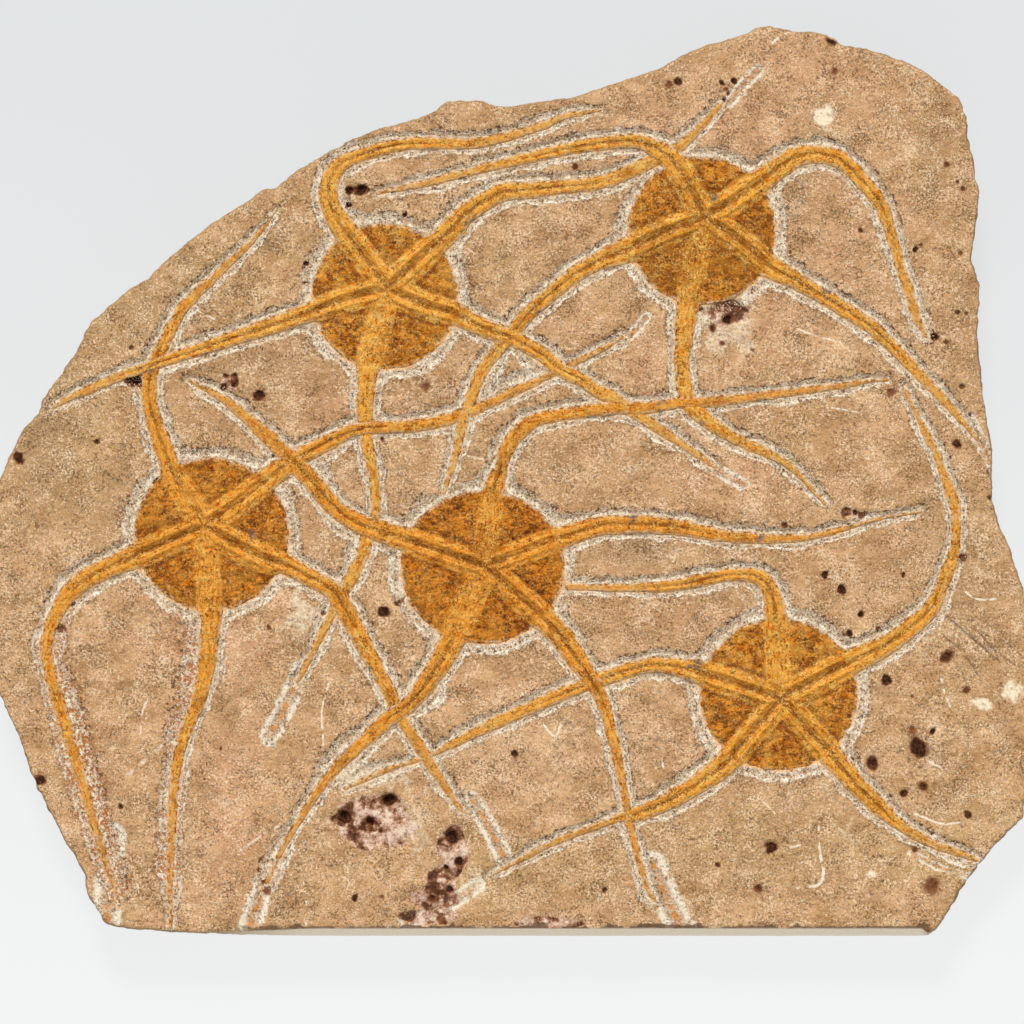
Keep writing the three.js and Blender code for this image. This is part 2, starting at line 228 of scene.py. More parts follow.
# Pale worn bands past the ends of arms: width, then the points of the band.
SCARS = [
    (8, [(-74, -66), (-80, -80), (-85, -89)]),
    (7, [(-14, -111), (-8, -121), (-3, -131)]),
    (9, [(-80, -128), (-87, -142), (-92, -156)]),
    (11, [(49, -134), (54, -146), (60, -157)]),
    (11, [(-140, -124), (-141, -140), (-142, -154)]),
    (6, [(-12, -141), (-24, -149), (-37, -154)]),
    (4, [(38, 48), (44, 54), (47, 58)]),
    (5, [(66, 8), (74, 3), (81, -1)]),
    (5, [(76, 133), (81, 139), (86, 144)]),
    (5, [(160, 22), (165, 12), (169, 4)]),
    (5, [(-163, 68), (-169, 66), (-173, 63)]),
    (3, [(140, -130), (150, -135), (160, -138)]),
    (5, [(-119, 100), (-117, 106), (-115, 112)]),
]

# Small pits: x, y, width, depth, and how red the inside is, from 0, dark brown, to 1, rust.
PITS = [
    (-57, 102, 3.6, 1.2, 0.2), (-52.5, 102.5, 4.6, 1.4, 0.1), (-57, 97, 2.4, 0.9, 0.3),
    (-56.5, 92, 2.0, 0.7, 0.5), (-37.5, 93.5, 2.2, 0.8, 0.1), (-72, 76.5, 2.2, 0.8, 0.1),
    (-72.5, 69.8, 1.8, 0.7, 0.2), (22, 110.5, 2.6, 0.8, 0.3), (58.5, 140, 3.0, 1.0, 0.4),
    (73.5, 139.5, 2.4, 0.9, 0.2), (77.5, 140.5, 2.6, 0.9, 0.1), (75, 137.5, 1.8, 0.7, 0.5),
    (55, 139, 2.4, 0.6, 0.9), (16.5, 128, 2.0, 0.7, 0.3), (74, 134, 1.8, 0.7, 0.4),
    (75.5, 136, 1.6, 0.6, 0.2), (112.5, 155, 5.0, 1.6, 0.2), (113, 144, 2.0, 0.6, 0.5),
    (152, 111, 2.4, 0.7, 0.4), (156, 105, 2.0, 0.7, 0.3), (158, 102.5, 2.0, 0.7, 0.4),
    (122, 88, 2.0, 0.7, 0.2), (141, 81.5, 2.2, 0.8, 0.1), (143, 83, 1.8, 0.6, 0.3),
    (157, 80, 2.0, 0.7, 0.5), (148, 50.5, 3.4, 1.2, 0.2), (152, 49, 2.2, 0.6, 0.6),
    (156, 59.5, 1.8, 0.7, 0.2), (159, 59, 1.8, 0.6, 0.3), (157.5, 33.5, 2.2, 0.7, 0.2),
    (156.5, 23, 2.2, 0.8, 0.3), (155.5, 13.5, 4.0, 1.0, 0.4), (132.5, 31.5, 2.6, 0.6, 0.8),
    (166.5, 3.5, 2.0, 0.6, 0.4), (167.5, -5.5, 2.2, 0.8, 0.3), (120, -10.5, 2.2, 0.8, 0.2),
    (117, -9.5, 2.0, 0.7, 0.3), (116, -12, 1.8, 0.6, 0.4), (122.5, -11.5, 2.4, 0.6, 0.8),
    (95.5, -15, 2.4, 0.7, 0.1), (101, -2.5, 1.4, 0.5, 0.2), (95, 4, 1.4, 0.5, 0.3),
    (83, 12, 1.4, 0.5, 0.2), (-173, 9, 5.0, 1.4, 0.2), (-145.5, 14, 2.4, 0.8, 0.2),
    (-133, 47, 2.0, 0.7, 0.3), (-132.5, 35.6, 5.0, 1.8, 0.3), (-129.5, 34, 3.6, 1.4, 0.4),
    (-101, 33, 3.0, 1.0, 0.3), (-97.5, 34, 2.6, 0.9, 0.2), (-97, 37.5, 2.2, 0.8, 0.3),
    (-100, 37, 2.2, 0.8, 0.5), (-88, 30.5, 4.6, 1.2, 0.3), (-83.5, 9.3, 2.2, 0.8, 0.2),
    (-124, 0, 3.0, 1.0, 0.2), (-115, 1.5, 2.0, 0.7, 0.3), (-30, 33.5, 3.4, 0.6, 0.6),
    (-45.5, 15, 2.0, 0.7, 0.2), (-48, 10, 1.8, 0.6, 0.4), (79, 67.5, 2.6, 0.8, 0.4),
    (66, 60.5, 2.4, 0.8, 0.3), (73.5, 48.5, 2.4, 0.8, 0.5), (-154, -42.5, 2.2, 0.8, 0.2),
    (-158, -51.5, 3.0, 0.7, 0.9), (-45, -45.5, 5.0, 1.3, 0.2), (-40, -42.5, 2.2, 0.6, 0.0),
    (-66, -46, 1.8, 0.6, 0.2), (-85, -51, 1.8, 0.6, 0.3), (-165, -104.8, 4.2, 1.2, 0.2),
    (-137, -113.7, 2.2, 0.8, 0.2), (-102, -93.5, 1.4, 0.5, 0.2), (-55, -145.5, 2.6, 0.8, 0.2),
    (-45.5, -145, 2.0, 0.4, 0.4), (-87, -140, 2.0, 0.7, 0.3), (-88.5, -136, 2.0, 0.7, 0.4),
    (-88, -132, 1.8, 0.6, 0.4), (-85.5, -143, 2.4, 0.6, 0.9), (0.8, -95, 3.4, 0.8, 0.0),
    (109.5, -32.3, 3.0, 1.1, 0.1), (115.4, -37.7, 4.2, 1.4, 0.1), (122, -46.5, 3.0, 1.1, 0.2),
    (118, -53, 3.0, 1.0, 0.2), (137, -32.3, 2.2, 0.8, 0.2), (128, -51.5, 2.0, 0.7, 0.2),
    (157.8, -26.5, 3.0, 0.9, 0.6), (152, -61, 5.0, 1.0, 0.4), (131, -69.5, 4.2, 1.2, 0.2),
    (140, -75, 1.6, 0.6, 0.2), (159, -73, 3.0, 0.8, 0.4), (142, -93, 7.0, 1.5, 0.4),
    (140, -87, 3.0, 0.5, 0.5), (147, -87.5, 2.6, 0.9, 0.1), (126, -98.5, 5.0, 1.0, 0.4),
    (137, -109, 3.0, 1.0, 0.3), (144, -106.5, 4.0, 1.0, 0.4), (159.5, -116.5, 3.0, 0.9, 0.3),
    (147, -123, 1.6, 0.6, 0.2), (141, -128.8, 2.6, 0.8, 0.4), (147, -140.5, 6.0, 0.7, 0.5),
    (91, -127.8, 5.0, 1.5, 0.1), (71.7, -134, 2.2, 0.8, 0.2), (86, -142.5, 3.2, 0.8, 0.4),
    (32.3, -142.8, 2.2, 0.8, 0.2), (84.5, 46, 1.6, 0.5, 0.3), (70, 54, 2.8, 0.8, 0.5),
    (-168.5, 30, 2.0, 0.6, 0.3), (-25, -153, 3.0, 0.5, 1.0), (-21, -124, 5.8, 1.8, 0.2),
    (-18.5, -132.5, 4.0, 1.3, 0.3), (-23, -135, 2.6, 0.9, 0.3), (-22, -142.5, 3.6, 1.1, 0.4),
    (-28, -146, 3.0, 0.9, 0.5), (-43, -111.5, 5.0, 1.6, 0.2), (-58.5, -117, 5.0, 1.6, 0.2),
    (-49.5, -118.5, 3.6, 1.2, 0.4), (-46, -122, 2.6, 0.9, 0.5), (75.5, 57, 4.4, 1.3, 0.3),
]

# Larger hollows with broken floors: x, y, half width, half height, depth and redness.
HOLLOWS = [
    (-49, -118.5, 15.5, 11.5, 1.5, 0.25), (-42, -112, 4.2, 3.6, 1.8, 0.1),
    (-58, -117.5, 4.6, 3.8, 1.8, 0.15), (-48.5, -120, 3.4, 3.0, 1.6, 0.2),
    (-20.5, -129, 5.6, 10, 1.3, 0.35), (-25, -140, 6, 7, 0.9, 0.5), (-27, -146, 8.5, 5, 0.9, 0.5),
    (-29, -152, 11, 3.0, 0.5, 0.45), (13, -154.5, 13, 2.6, 0.5, 0.4), (75, 59, 7.5, 5.5, 1.3, 0.9),
    (-132, 35.4, 4.0, 2.6, 1.2, 0.3), (-54, 102, 4.6, 2.2, 0.9, 0.2),
    (-98.5, 35.3, 3.8, 3.2, 0.6, 0.4), (118.5, -10.6, 4.0, 1.8, 0.6, 0.5),
]

# Pale patches: x, y, half width, half height and strength.
PALE_PATCHES = [
    (109, 128, 3.3, 3.5, 1.0), (108, 122, 6, 5, 0.25), (164, -77.5, 4.5, 2.6, 0.7),
    (175, -73, 2.5, 3.0, 0.6), (126, -137.5, 1.8, 1.4, 0.8), (116, -122, 4.5, 3.8, 0.3),
    (-74, -47, 7, 7.5, 0.38), (-80, -40, 5, 4, 0.2), (76, 53, 10, 9, 0.35),
    (-72, 58, 6, 4, 0.2), (-47, -104, 12, 5, 0.35), (-64, -122, 5, 6, 0.15), (-32, -124, 5, 8, 0.3),
    (-14, -140, 5, 6, 0.3), (142, 60, 5, 10, 0.25), (45, 56, 8, 5, 0.15), (60, 20, 10, 4, 0.15),
    (-165, 60, 4, 4, 0.2), (150, -95, 7, 5, 0.2), (-110, -148, 10, 5, 0.15),
]

# Scratches: width, strength, and points. A negative strength is a dark crack.
SCRATCHES = [
    (0.9, 0.8, [(91, 153.5), (94, 156), (97, 157.5)]),
    (1.0, 0.9, [(108, -131), (109, -137), (107, -141), (100, -142)]),
    (0.8, 0.6, [(107.4, -120.6), (107.2, -125), (108, -130)]),
    (0.9, 0.6, [(132, -91), (141, -95), (150, -100)]),
    (0.8, 0.7, [(141, -116), (150, -119.5), (158, -119)]),
    (0.9, 0.6, [(150, -68), (151.5, -74), (154, -80)]),
    (0.8, 0.7, [(158, -38), (163, -41), (170, -41)]),
    (0.8, -0.9, [(150, -45), (159, -53), (170, -62)]),
    (0.6, -0.7, [(150, -53), (158, -60), (164, -69)]),
    (0.6, -0.6, [(160, -48), (168, -58), (176, -64)]),
    (0.8, 0.6, [(97.5, -128), (101, -127)]),
    (0.8, 0.6, [(52, -95), (53, -100)]),
    (0.7, 0.6, [(99, 54), (107, 51), (115, 49)]),
    (0.7, 0.7, [(11, -85), (15, -89), (17, -85)]),
    (0.7, 0.7, [(2.5, -71), (4, -75)]),
    (0.7, 0.6, [(-64, -70), (-66.5, -80), (-66, -92)]),
    (0.7, 0.5, [(-73, -140), (-72, -147), (-72, -155)]),
    (0.9, 0.5, [(-95, -129), (-88, -124), (-81, -120)]),
    (0.8, 0.5, [(-127, -75), (-129.5, -81), (-130, -88)]),
    (1.6, 0.35, [(-135, -103), (-128, -97), (-122, -92)]),
    (0.8, 0.5, [(-127, -134), (-127.5, -142)]),
    (0.8, 0.5, [(-131, -141), (-130, -146)]),
    (0.9, 0.6, [(77, 88), (80.5, 85.5), (84, 83)]),
    (0.7, 0.5, [(-34, 88), (-28, 86)]),
    (0.7, 0.5, [(-110, 60), (-104, 57)]),
    (0.7, 0.5, [(112, 26), (121, 24.5)]),
    (0.7, 0.5, [(62, -70), (66, -79)]),
    (0.7, 0.5, [(-100, -60), (-101, -70)]),
    (0.8, 0.5, [(88, -112), (92, -116)]),
    (0.8, 0.5, [(-20, 10), (-10, 8)]),
]

# How the stone's own colour drifts: x, y, half width, half height, lightness and pinkness.
STONE_DRIFTS = [
    (-165, 20, 22, 40, -0.55, -0.7), (-128, 60, 30, 16, -0.3, -0.5), (-60, 60, 16, 14, -0.15, -0.2),
    (-110, 78, 40, 14, -0.25, -0.5), (-30, 110, 40, 16, 0.05, -0.2), (20, 75, 30, 10, 0.05, -0.3),
    (55, 120, 26, 12, 0.1, 0.3), (110, 138, 30, 16, -0.1, 0.4), (150, 118, 14, 24, -0.4, -0.4),
    (118, 92, 18, 20, 0.1, 0.45), (104, 62, 20, 14, 0.1, 0.3), (154, 60, 10, 26, -0.25, -0.2),
    (-100, 25, 34, 14, -0.2, -0.2), (-90, 42, 26, 8, -0.4, -0.1), (-65, 30, 18, 10, -0.1, 0.35),
    (-130, -10, 18, 20, -0.2, -0.1), (80, 5, 30, 10, -0.15, 0.5), (130, 5, 24, 12, -0.1, 0.1),
    (160, -30, 18, 30, -0.4, -0.5), (165, -80, 16, 30, -0.15, -0.2), (120, -70, 20, 16, -0.2, -0.3),
    (60, -45, 22, 12, -0.1, 0.4), (60, -95, 18, 14, 0.1, 0.35), (0, -95, 30, 18, 0.4, 0.3),
    (45, -22, 14, 7, -0.8, -0.3),
    (90, -130, 40, 18, -0.35, -0.7), (150, -125, 26, 20, -0.1, -0.8), (0, -135, 36, 16, -0.1, -0.5),
    (-100, -120, 20, 34, 0.1, 0.5), (-140, -60, 12, 20, 0.0, 0.2), (-95, -60, 24, 18, 0.1, 0.5),
    (-110, -30, 20, 14, 0.0, 0.2), (-160, -80, 8, 30, -0.1, -0.4), (30, 40, 24, 12, 0.05, 0.2),
]

# Grey, weathered places on the fossils: x, y and reach.
WEATHERED = [
    (-109, -58, 2.6), (-109.5, -63, 2.4), (-55, -29, 3.0), (-49, -67, 3.0), (146, -42, 3.0),
    (64, -64, 3.0), (45, -38.5, 2.6), (42, -12, 2.6), (54, -12.5, 2.6), (86, -19, 2.8),
    (-6.5, 5, 2.4), (93, -32, 2.4), (-15, 92, 3.0), (-128, 40, 2.8), (-131, 30, 2.4),
    (-60, 31, 2.6), (-19, 40, 2.8), (28, 16, 2.6), (10, 58, 2.6), (52, 27, 2.6),
    (-20, 27, 2.4), (-92, -19, 2.6), (-75, -38, 2.8), (138, -60, 2.6), (110, 66, 2.6),
    (-98, 49, 2.6), (66, 22, 2.6), (70, 100, 2.2), (20, 90, 2.4), (-44, 4, 2.6),
]

# How the fossils' own colour drifts: x, y, half width, half height and lightness.
FOSSIL_DRIFTS = [
    (66, 80, 26, 14, -0.75), (48, 94, 12, 16, -0.4), (88, 84, 12, 10, -0.3), (91, -72, 4, 4, -0.6),
    (-10, -27, 7, 6, -0.7), (67, 107, 6, 4, -0.5), (82, 74, 8, 5, -0.4),
]
# ---- small helpers

FAR = 1000.0  # a distance that stands for nowhere near
NOISE_TABLE = 257  # rows of random values, after which a pattern repeats


def smoothstep(value, start, end):
    """0 at start and 1 at end, with an easy slope between."""
    part = np.clip((value - start) / (end - start), 0.0, 1.0)
    return part * part * (3.0 - 2.0 * part)


def bump(value, middle, reach):
    """A rounded hump of height 1 about the middle."""
    return np.exp(-(((value - middle) / reach) ** 2))


def unevenness(spots, size, seed):
    """Random values from -1 to 1 that change smoothly over about size, one number or x and y."""
    table = np.random.default_rng(seed).uniform(-1.0, 1.0, (NOISE_TABLE, NOISE_TABLE))
    if np.ndim(size) == 0:
        turn = 0.7 * seed
        spots = spots @ np.array([[math.cos(turn), -math.sin(turn)], [math.sin(turn), math.cos(turn)]])
    scaled = spots / np.array(size)
    cell = np.floor(scaled).astype(int)
    ease = scaled - cell
    ease = ease * ease * (3.0 - 2.0 * ease)
    x0, y0 = cell[:, 0] % NOISE_TABLE, cell[:, 1] % NOISE_TABLE
    x1, y1 = (x0 + 1) % NOISE_TABLE, (y0 + 1) % NOISE_TABLE
    low = table[x0, y0] * (1.0 - ease[:, 0]) + table[x1, y0] * ease[:, 0]
    high = table[x0, y1] * (1.0 - ease[:, 0]) + table[x1, y1] * ease[:, 0]
    return low * (1.0 - ease[:, 1]) + high * ease[:, 1]


def roughness(spots, size, seed, octaves=3):
    """Unevenness at a size and at finer and finer sizes below it."""
    total = np.zeros(len(spots))
    share = 0.55
    for octave in range(octaves):
        total += share * unevenness(spots, np.array(size) * 0.5**octave, seed + 10 * octave)
        share *= 0.55
    return total


def within(spots, low, high):
    """Which spots lie in the box from low to high."""
    return np.all((spots >= low) & (spots <= high), axis=1)


def ellipse_gap(spots, x, y, half_width, half_height):
    """Distance outside an ellipse, negative inside it."""
    radii = np.array([half_width, half_height])
    place = (spots - (x, y)) / radii
    reach = np.hypot(place[:, 0], place[:, 1])
    slope = np.hypot(*(place / radii).T)
    return reach * (reach - 1.0) / np.maximum(slope, 1.0e-6)


def smooth_min(first, second, reach):
    """The smaller of two distances, rounded where they meet."""
    blend = np.maximum(reach - np.abs(first - second), 0.0) / reach
    return np.minimum(first, second) - blend * blend * reach / 4.0


Look = namedtuple("Look", "distance along side half north")


class Route:
    """A smooth path through listed points, each x, y and width."""

    def __init__(self, points):
        listed = np.array(points, float)
        before = 2.0 * listed[0] - listed[1]
        after = 2.0 * listed[-1] - listed[-2]
        listed = np.vstack([before, listed, after])
        stations = []
        for a, b, c, d in zip(listed, listed[1:], listed[2:], listed[3:]):
            count = max(2, round(math.dist(b[:2], c[:2]) / ROUTE_STEP))
            t = np.linspace(0.0, 1.0, count, endpoint=False)[:, None]
            bend = 2.0 * a - 5.0 * b + 4.0 * c - d
            twist = 3.0 * b - a - 3.0 * c + d
            stations.append(0.5 * (2.0 * b + (c - a) * t + bend * t**2 + twist * t**3))
        stations = np.vstack([*stations, listed[-2:-1]])
        self.centre = stations[:, :2]
        self.half = np.maximum(stations[:, 2] / 2.0, 0.3)
        steps = np.diff(self.centre, axis=0)
        self.along = np.concatenate([[0.0], np.cumsum(np.hypot(*steps.T))])
        heading = np.gradient(self.centre, axis=0)
        self.heading = heading / np.hypot(*heading.T)[:, None]
        self.length = self.along[-1]

    def near(self, spots, reach):
        """Which spots are about within reach of the path."""
        chosen = within(spots, self.centre.min(axis=0) - reach, self.centre.max(axis=0) + reach)
        index = np.flatnonzero(chosen)
        coarse = self.centre[::12]
        gap = np.full(len(index), FAR)
        for place in coarse:
            gap = np.minimum(gap, np.hypot(*(spots[index] - place).T))
        return index[gap < reach + 7.0 * ROUTE_STEP]

    def look(self, spots, reach):
        """Each spot's distance from the path, its place along it, and its side."""
        distance = np.full(len(spots), FAR)
        along, side, half, north = (np.zeros(len(spots)) for _ in range(4))
        half[:] = self.half[0]
        for index in np.array_split(self.near(spots, reach), 40):
            if len(index) == 0:
                continue
            place = spots[index]
            gaps = (place[:, 0:1] - self.centre[:, 0]) ** 2 + (place[:, 1:2] - self.centre[:, 1]) ** 2
            nearest = np.argmin(gaps, axis=1)
            heading = self.heading[nearest]
            offset = place - self.centre[nearest]
            ahead = np.clip(np.sum(offset * heading, axis=1), -ROUTE_STEP, ROUTE_STEP)
            ahead = np.where(nearest == 0, np.maximum(ahead, 0.0), ahead)
            ahead = np.where(nearest == len(self.centre) - 1, np.minimum(ahead, 0.0), ahead)
            offset -= heading * ahead[:, None]
            distance[index] = np.hypot(*offset.T)
            along[index] = self.along[nearest] + ahead
            side[index] = heading[:, 0] * offset[:, 1] - heading[:, 1] * offset[:, 0]
            half[index] = np.interp(along[index], self.along, self.half)
            north[index] = offset[:, 1] / np.maximum(distance[index], 1.0e-6)
        return Look(distance, along, side, half, north)


def plain_route(width, points):
    """A path of one width through points, each x and y."""
    return Route([(x, y, width) for x, y in points])


# ---- the fossil stars as surfaces

ARM_CREST, TIP_CREST = 0.5, -0.35  # height of an arm's crest by the disc and at the tip
ARM_RISE, TIP_RISE = 0.88, 0.42  # how far its flanks fall from there
ARM_FURROW = 0.55
DISC_TOP = 0.6
RIDGE_HEIGHT = 1.0
RIDGE_PLACE = 0.54  # where the twin ridges run, as a share of the arm's half width

StarView = namedtuple(
    "StarView", "gap disc_gap arm share along side north inside fade crest rise level past"
)


class Star:
    """One brittle star: where it is, and how high its surface stands."""

    def __init__(self, plan, number):
        self.plan = plan
        self.name = plan["node"]
        self.number = number
        self.disc = plan["disc"]
        self.routes = [Route([(*plan["hub"], arm[0][2]), *arm]) for arm in plan["arms"]]
        self.leaves = []
        for route in self.routes:
            outside = ellipse_gap(route.centre, *self.disc) > 0.0
            self.leaves.append(route.along[np.argmax(outside)])

    def view(self, spots, reach):
        """Everything about the spots that the star's shape and finish depend on."""
        looks = [route.look(spots, reach) for route in self.routes]
        disc_gap = ellipse_gap(spots, *self.disc)
        shares = np.array([look.distance / look.half for look in looks])
        gaps = np.array([look.distance - look.half for look in looks])
        arm = np.argmin(shares, axis=0)
        row = np.arange(len(spots))
        along = np.array([look.along for look in looks])[arm, row]
        side = np.array([look.side for look in looks])[arm, row]
        north = np.array([look.north for look in looks])[arm, row]
        gap = smooth_min(gaps.min(axis=0), disc_gap, FOSSIL_FILLET)
        gap = gap + EDGE_WOBBLE * unevenness(spots, 2.4, 31 + self.number)
        gap = gap + 0.5 * EDGE_WOBBLE * unevenness(spots, 0.9, 41 + self.number)
        from_disc = spots - self.disc[:2]
        disc_north = from_disc[:, 1] / np.maximum(np.hypot(*from_disc.T), 1.0)
        north = np.where(disc_gap < gaps.min(axis=0), disc_north, north)

        share = np.minimum(shares[arm, row], 60.0)
        leaves = np.array(self.leaves)[arm]
        length = np.array([route.length for route in self.routes])[arm]
        travel = np.clip((along - leaves) / (length - leaves), 0.0, 1.0)
        by_disc = smoothstep(share, 1.0, 1.25) * smoothstep(disc_gap, 9.0, 4.0)
        inside = np.maximum(smoothstep(disc_gap, 1.0, -2.5), by_disc)
        lasts = np.array(self.plan["furrow"], float)[arm]
        fade = smoothstep(along - leaves, lasts * 1.2 - 0.1, lasts * 0.6 - 1.0)
        crest = ARM_CREST + (TIP_CREST - ARM_CREST) * travel**0.8
        rise = ARM_RISE + (TIP_RISE - ARM_RISE) * travel
        level = np.where(disc_gap < 0.0, min(self.plan["levels"]), np.array(self.plan["levels"])[arm])
        past = smoothstep(length - along, 4.0, 0.5)
        place = (gap, disc_gap, arm, share, along, side, north)
        return StarView(*place, inside, fade, crest, rise, level, past)

    def level_gap(self, spots, reach, level):
        """How far the spots are outside those of the star's parts that lie above a level."""
        gap = np.full(len(spots), FAR)
        for route, own in zip(self.routes, self.plan["levels"]):
            look = route.look(spots, reach)
            gap = np.where(level > own, np.minimum(gap, look.distance - look.half), gap)
        above = level > max(self.plan["levels"])
        return np.where(above, np.minimum(gap, ellipse_gap(spots, *self.disc)), gap)

    def ridge(self, view):
        """How much a spot belongs to a ridge, 1, or to the furrow between two, -1; in a disc it also
        dips beside each ridge, where the finish paints shade.
        """
        strength = np.array(self.plan["ridges"], float)[view.arm]
        crest = bump(view.share, RIDGE_PLACE, 0.2)
        furrow = bump(view.share, 0.0, 0.2)
        # the dip beside each ridge in a disc is painted shade
        in_disc = strength * (crest - furrow - 0.6 * bump(view.share, 1.3, 0.25))
        on_arm = 0.6 * crest - view.fade * furrow
        return on_arm + (in_disc - on_arm) * view.inside

    def height(self, spots, view):
        """The height of the star's surface over the stone face."""
        round_off = np.sqrt(np.maximum(1.0 - np.minimum(view.share, 1.0) ** 2, 0.0))
        on_arm = view.crest - view.rise + view.rise * round_off
        on_arm -= ARM_FURROW * view.fade * bump(view.share, 0.0, 0.22)
        on_arm += 0.12 * view.fade * bump(view.share, RIDGE_PLACE, 0.22)

        strength = np.array(self.plan["ridges"], float)[view.arm]
        radius = np.minimum(np.hypot(*((spots - self.disc[:2]) / self.disc[2:]).T), 1.15)
        on_disc = DISC_TOP - 0.8 * radius**2 - 0.6 * np.minimum(radius, 1.1) ** 12
        on_disc += strength * RIDGE_HEIGHT * bump(view.share, RIDGE_PLACE, 0.21)
        on_disc -= strength * 0.85 * bump(view.share, 0.0, 0.30)
        on_disc -= strength * 0.5 * bump(view.share, 1.3, 0.3)
        grain = 0.32 * unevenness(spots, (2.4, 1.3), 51) + 0.2 * unevenness(spots, (1.2, 0.8), 52)
        on_disc += grain + 0.5 * roughness(spots, 4.5, 53)

        fibre = np.stack([view.along, view.side + 3.0 * view.arm], axis=1)
        on_arm += 0.09 * unevenness(fibre, (2.6, 0.7), 54) + 0.05 * unevenness(fibre, (0.9, 0.6), 55)
        on_arm += 0.10 * unevenness(fibre, (7.0, 2.0), 56)
        return on_arm + (on_disc - on_arm) * view.inside

    def rim_height(self, view):
        """The height at which the star's edge meets the stone."""
        at_arm = view.crest - view.rise
        return at_arm + (DISC_TOP - 1.4 - at_arm) * view.inside


# ---- meshes from points in the plane


def triangles_inside(points, edges):
    """Fills directed closed edges that have the inside on their left.

    Gives the points, the triangles and each given point's new number.
    """
    made = delaunay_2d_cdt([Vector(point) for point in points.tolist()], edges.tolist(), [], 0, 1.0e-5)
    places = np.array([tuple(place) for place in made[0]])
    corners = np.array(made[2])
    first, second, third = (places[corners[:, number]] for number in range(3))
    turn = np.cross(second - first, third - first)
    corners[turn < 0.0] = corners[turn < 0.0][:, ::-1]
    renumber = np.arange(len(points))
    for new, old in enumerate(made[3]):
        renumber[list(old)] = new
    count = len(places)
    walls = renumber[edges]
    walls = walls[walls[:, 0] != walls[:, 1]]
    wall_keys = walls[:, 0] * count + walls[:, 1]
    sides = np.stack([corners, np.roll(corners, -1, axis=1)], axis=2).reshape(-1, 2)
    keys = sides[:, 0] * count + sides[:, 1]
    back = sides[:, 1] * count + sides[:, 0]
    is_wall = np.isin(keys, wall_keys)
    is_outer = np.isin(back, wall_keys)
    owner = np.arange(len(sides)) // 3
    order = np.argsort(keys)
    found = np.clip(np.searchsorted(keys[order], back), 0, len(keys) - 1)
    across = np.where(keys[order][found] == back, order[found] // 3, -1)
    label = np.zeros(len(corners), int)
    label[owner[is_wall]] = 1
    label[owner[is_outer & ~is_wall]] = -1
    open_side = ~is_wall & ~is_outer & (across >= 0)
    from_face, to_face = owner[open_side], across[open_side]
    while True:
        spread = (label[from_face] != 0) & (label[to_face] == 0)
        if not spread.any():
            break
        label[to_face[spread]] = label[from_face[spread]]
    return places, corners[label == 1], renumber


def contour(xs, ys, field):
    """Directed edges where a field on a grid passes 0, with its negative side on the left."""
    cell = field[:-1, :-1], field[1:, :-1], field[1:, 1:], field[:-1, 1:]
    starts = (0, 0), (1, 0), (1, 1), (0, 1)
    case = sum((corner < 0.0).astype(int) << bit for bit, corner in enumerate(cell))
    rows, columns = np.nonzero((case > 0) & (case < 15))
    found = []

    def crossing(row, column, side):
        """The point where a cell's side is crossed, with a key that neighbours share."""
        (i0, j0), (i1, j1) = starts[side], starts[(side + 1) % 4]
        first, second = field[row + i0, column + j0], field[row + i1, column + j1]
        part = first / (first - second)
        x = xs[row + i0] + (xs[row + i1] - xs[row + i0]) * part
        y = ys[column + j0] + (ys[column + j1] - ys[column + j0]) * part
        if side in (0, 2):
            return ("x", row, column + j0), (x, y)
        return ("y", row + i0, column), (x, y)

    for row, column in zip(rows.tolist(), columns.tolist()):
        signs = [bool(case[row, column] >> bit & 1) for bit in range(4)]
        leaving = [side for side in range(4) if signs[side] and not signs[(side + 1) % 4]]
        entering = [side for side in range(4) if not signs[side] and signs[(side + 1) % 4]]
        for out in leaving:
            # The inside runs from the side where it begins round to the side where it ends.
            begin = min(entering, key=lambda side: (out - side) % 4)
            found.append((crossing(row, column, out), crossing(row, column, begin)))
    number, points, edges = {}, [], []
    for pair in found:
        ends = []
        for key, point in pair:
            if key not in number:
                number[key] = len(points)
                points.append(point)
            ends.append(number[key])
        edges.append(ends)
    return np.array(points), np.array(edges)


def jitter(spots, amount, seed):
    """Spots moved a little at random."""
    return spots + np.random.default_rng(seed).uniform(-amount, amount, spots.shape)


def fill_grid(low, high, spacing):
    """Points of a triangular grid over a box."""
    xs = np.arange(low[0], high[0], spacing)
    ys = np.arange(low[1], high[1], spacing * 0.866)
    x, y = np.meshgrid(xs, ys, indexing="ij")
    x = x + spacing / 2.0 * (np.arange(len(ys)) % 2)
    return np.stack([x.ravel(), y.ravel()], axis=1)


def square_grid(low, high, spacing):
    """A square grid over a box: its columns, its rows and all its points."""
    xs = np.arange(low[0], high[0], spacing)
    ys = np.arange(low[1], high[1], spacing)
    return xs, ys, np.stack(np.meshgrid(xs, ys, indexing="ij"), axis=-1).reshape(-1, 2)


def finish_piece(name, points, faces, values, uv):
    """A mesh object in metres from points in millimetres, with named values at its points."""
    mesh = bpy.data.meshes.new(name)
    mesh.from_pydata((points * MM).tolist(), [], faces)
    for title, numbers in values.items():
        layer = mesh.attributes.new(title, "FLOAT", "POINT")
        layer.data.foreach_set("value", np.asarray(numbers, np.float32))
    layer = mesh.uv_layers.new(name="OFBake")
    layer.data.foreach_set("uv", np.asarray(uv, np.float32).ravel())
    mesh.polygons.foreach_set("use_smooth", [True] * len(mesh.polygons))
    mesh.update()
    piece = bpy.data.objects.new(name, mesh)
    bpy.context.scene.collection.objects.link(piece)
    return piece

# ---- the stone and the stars as meshes

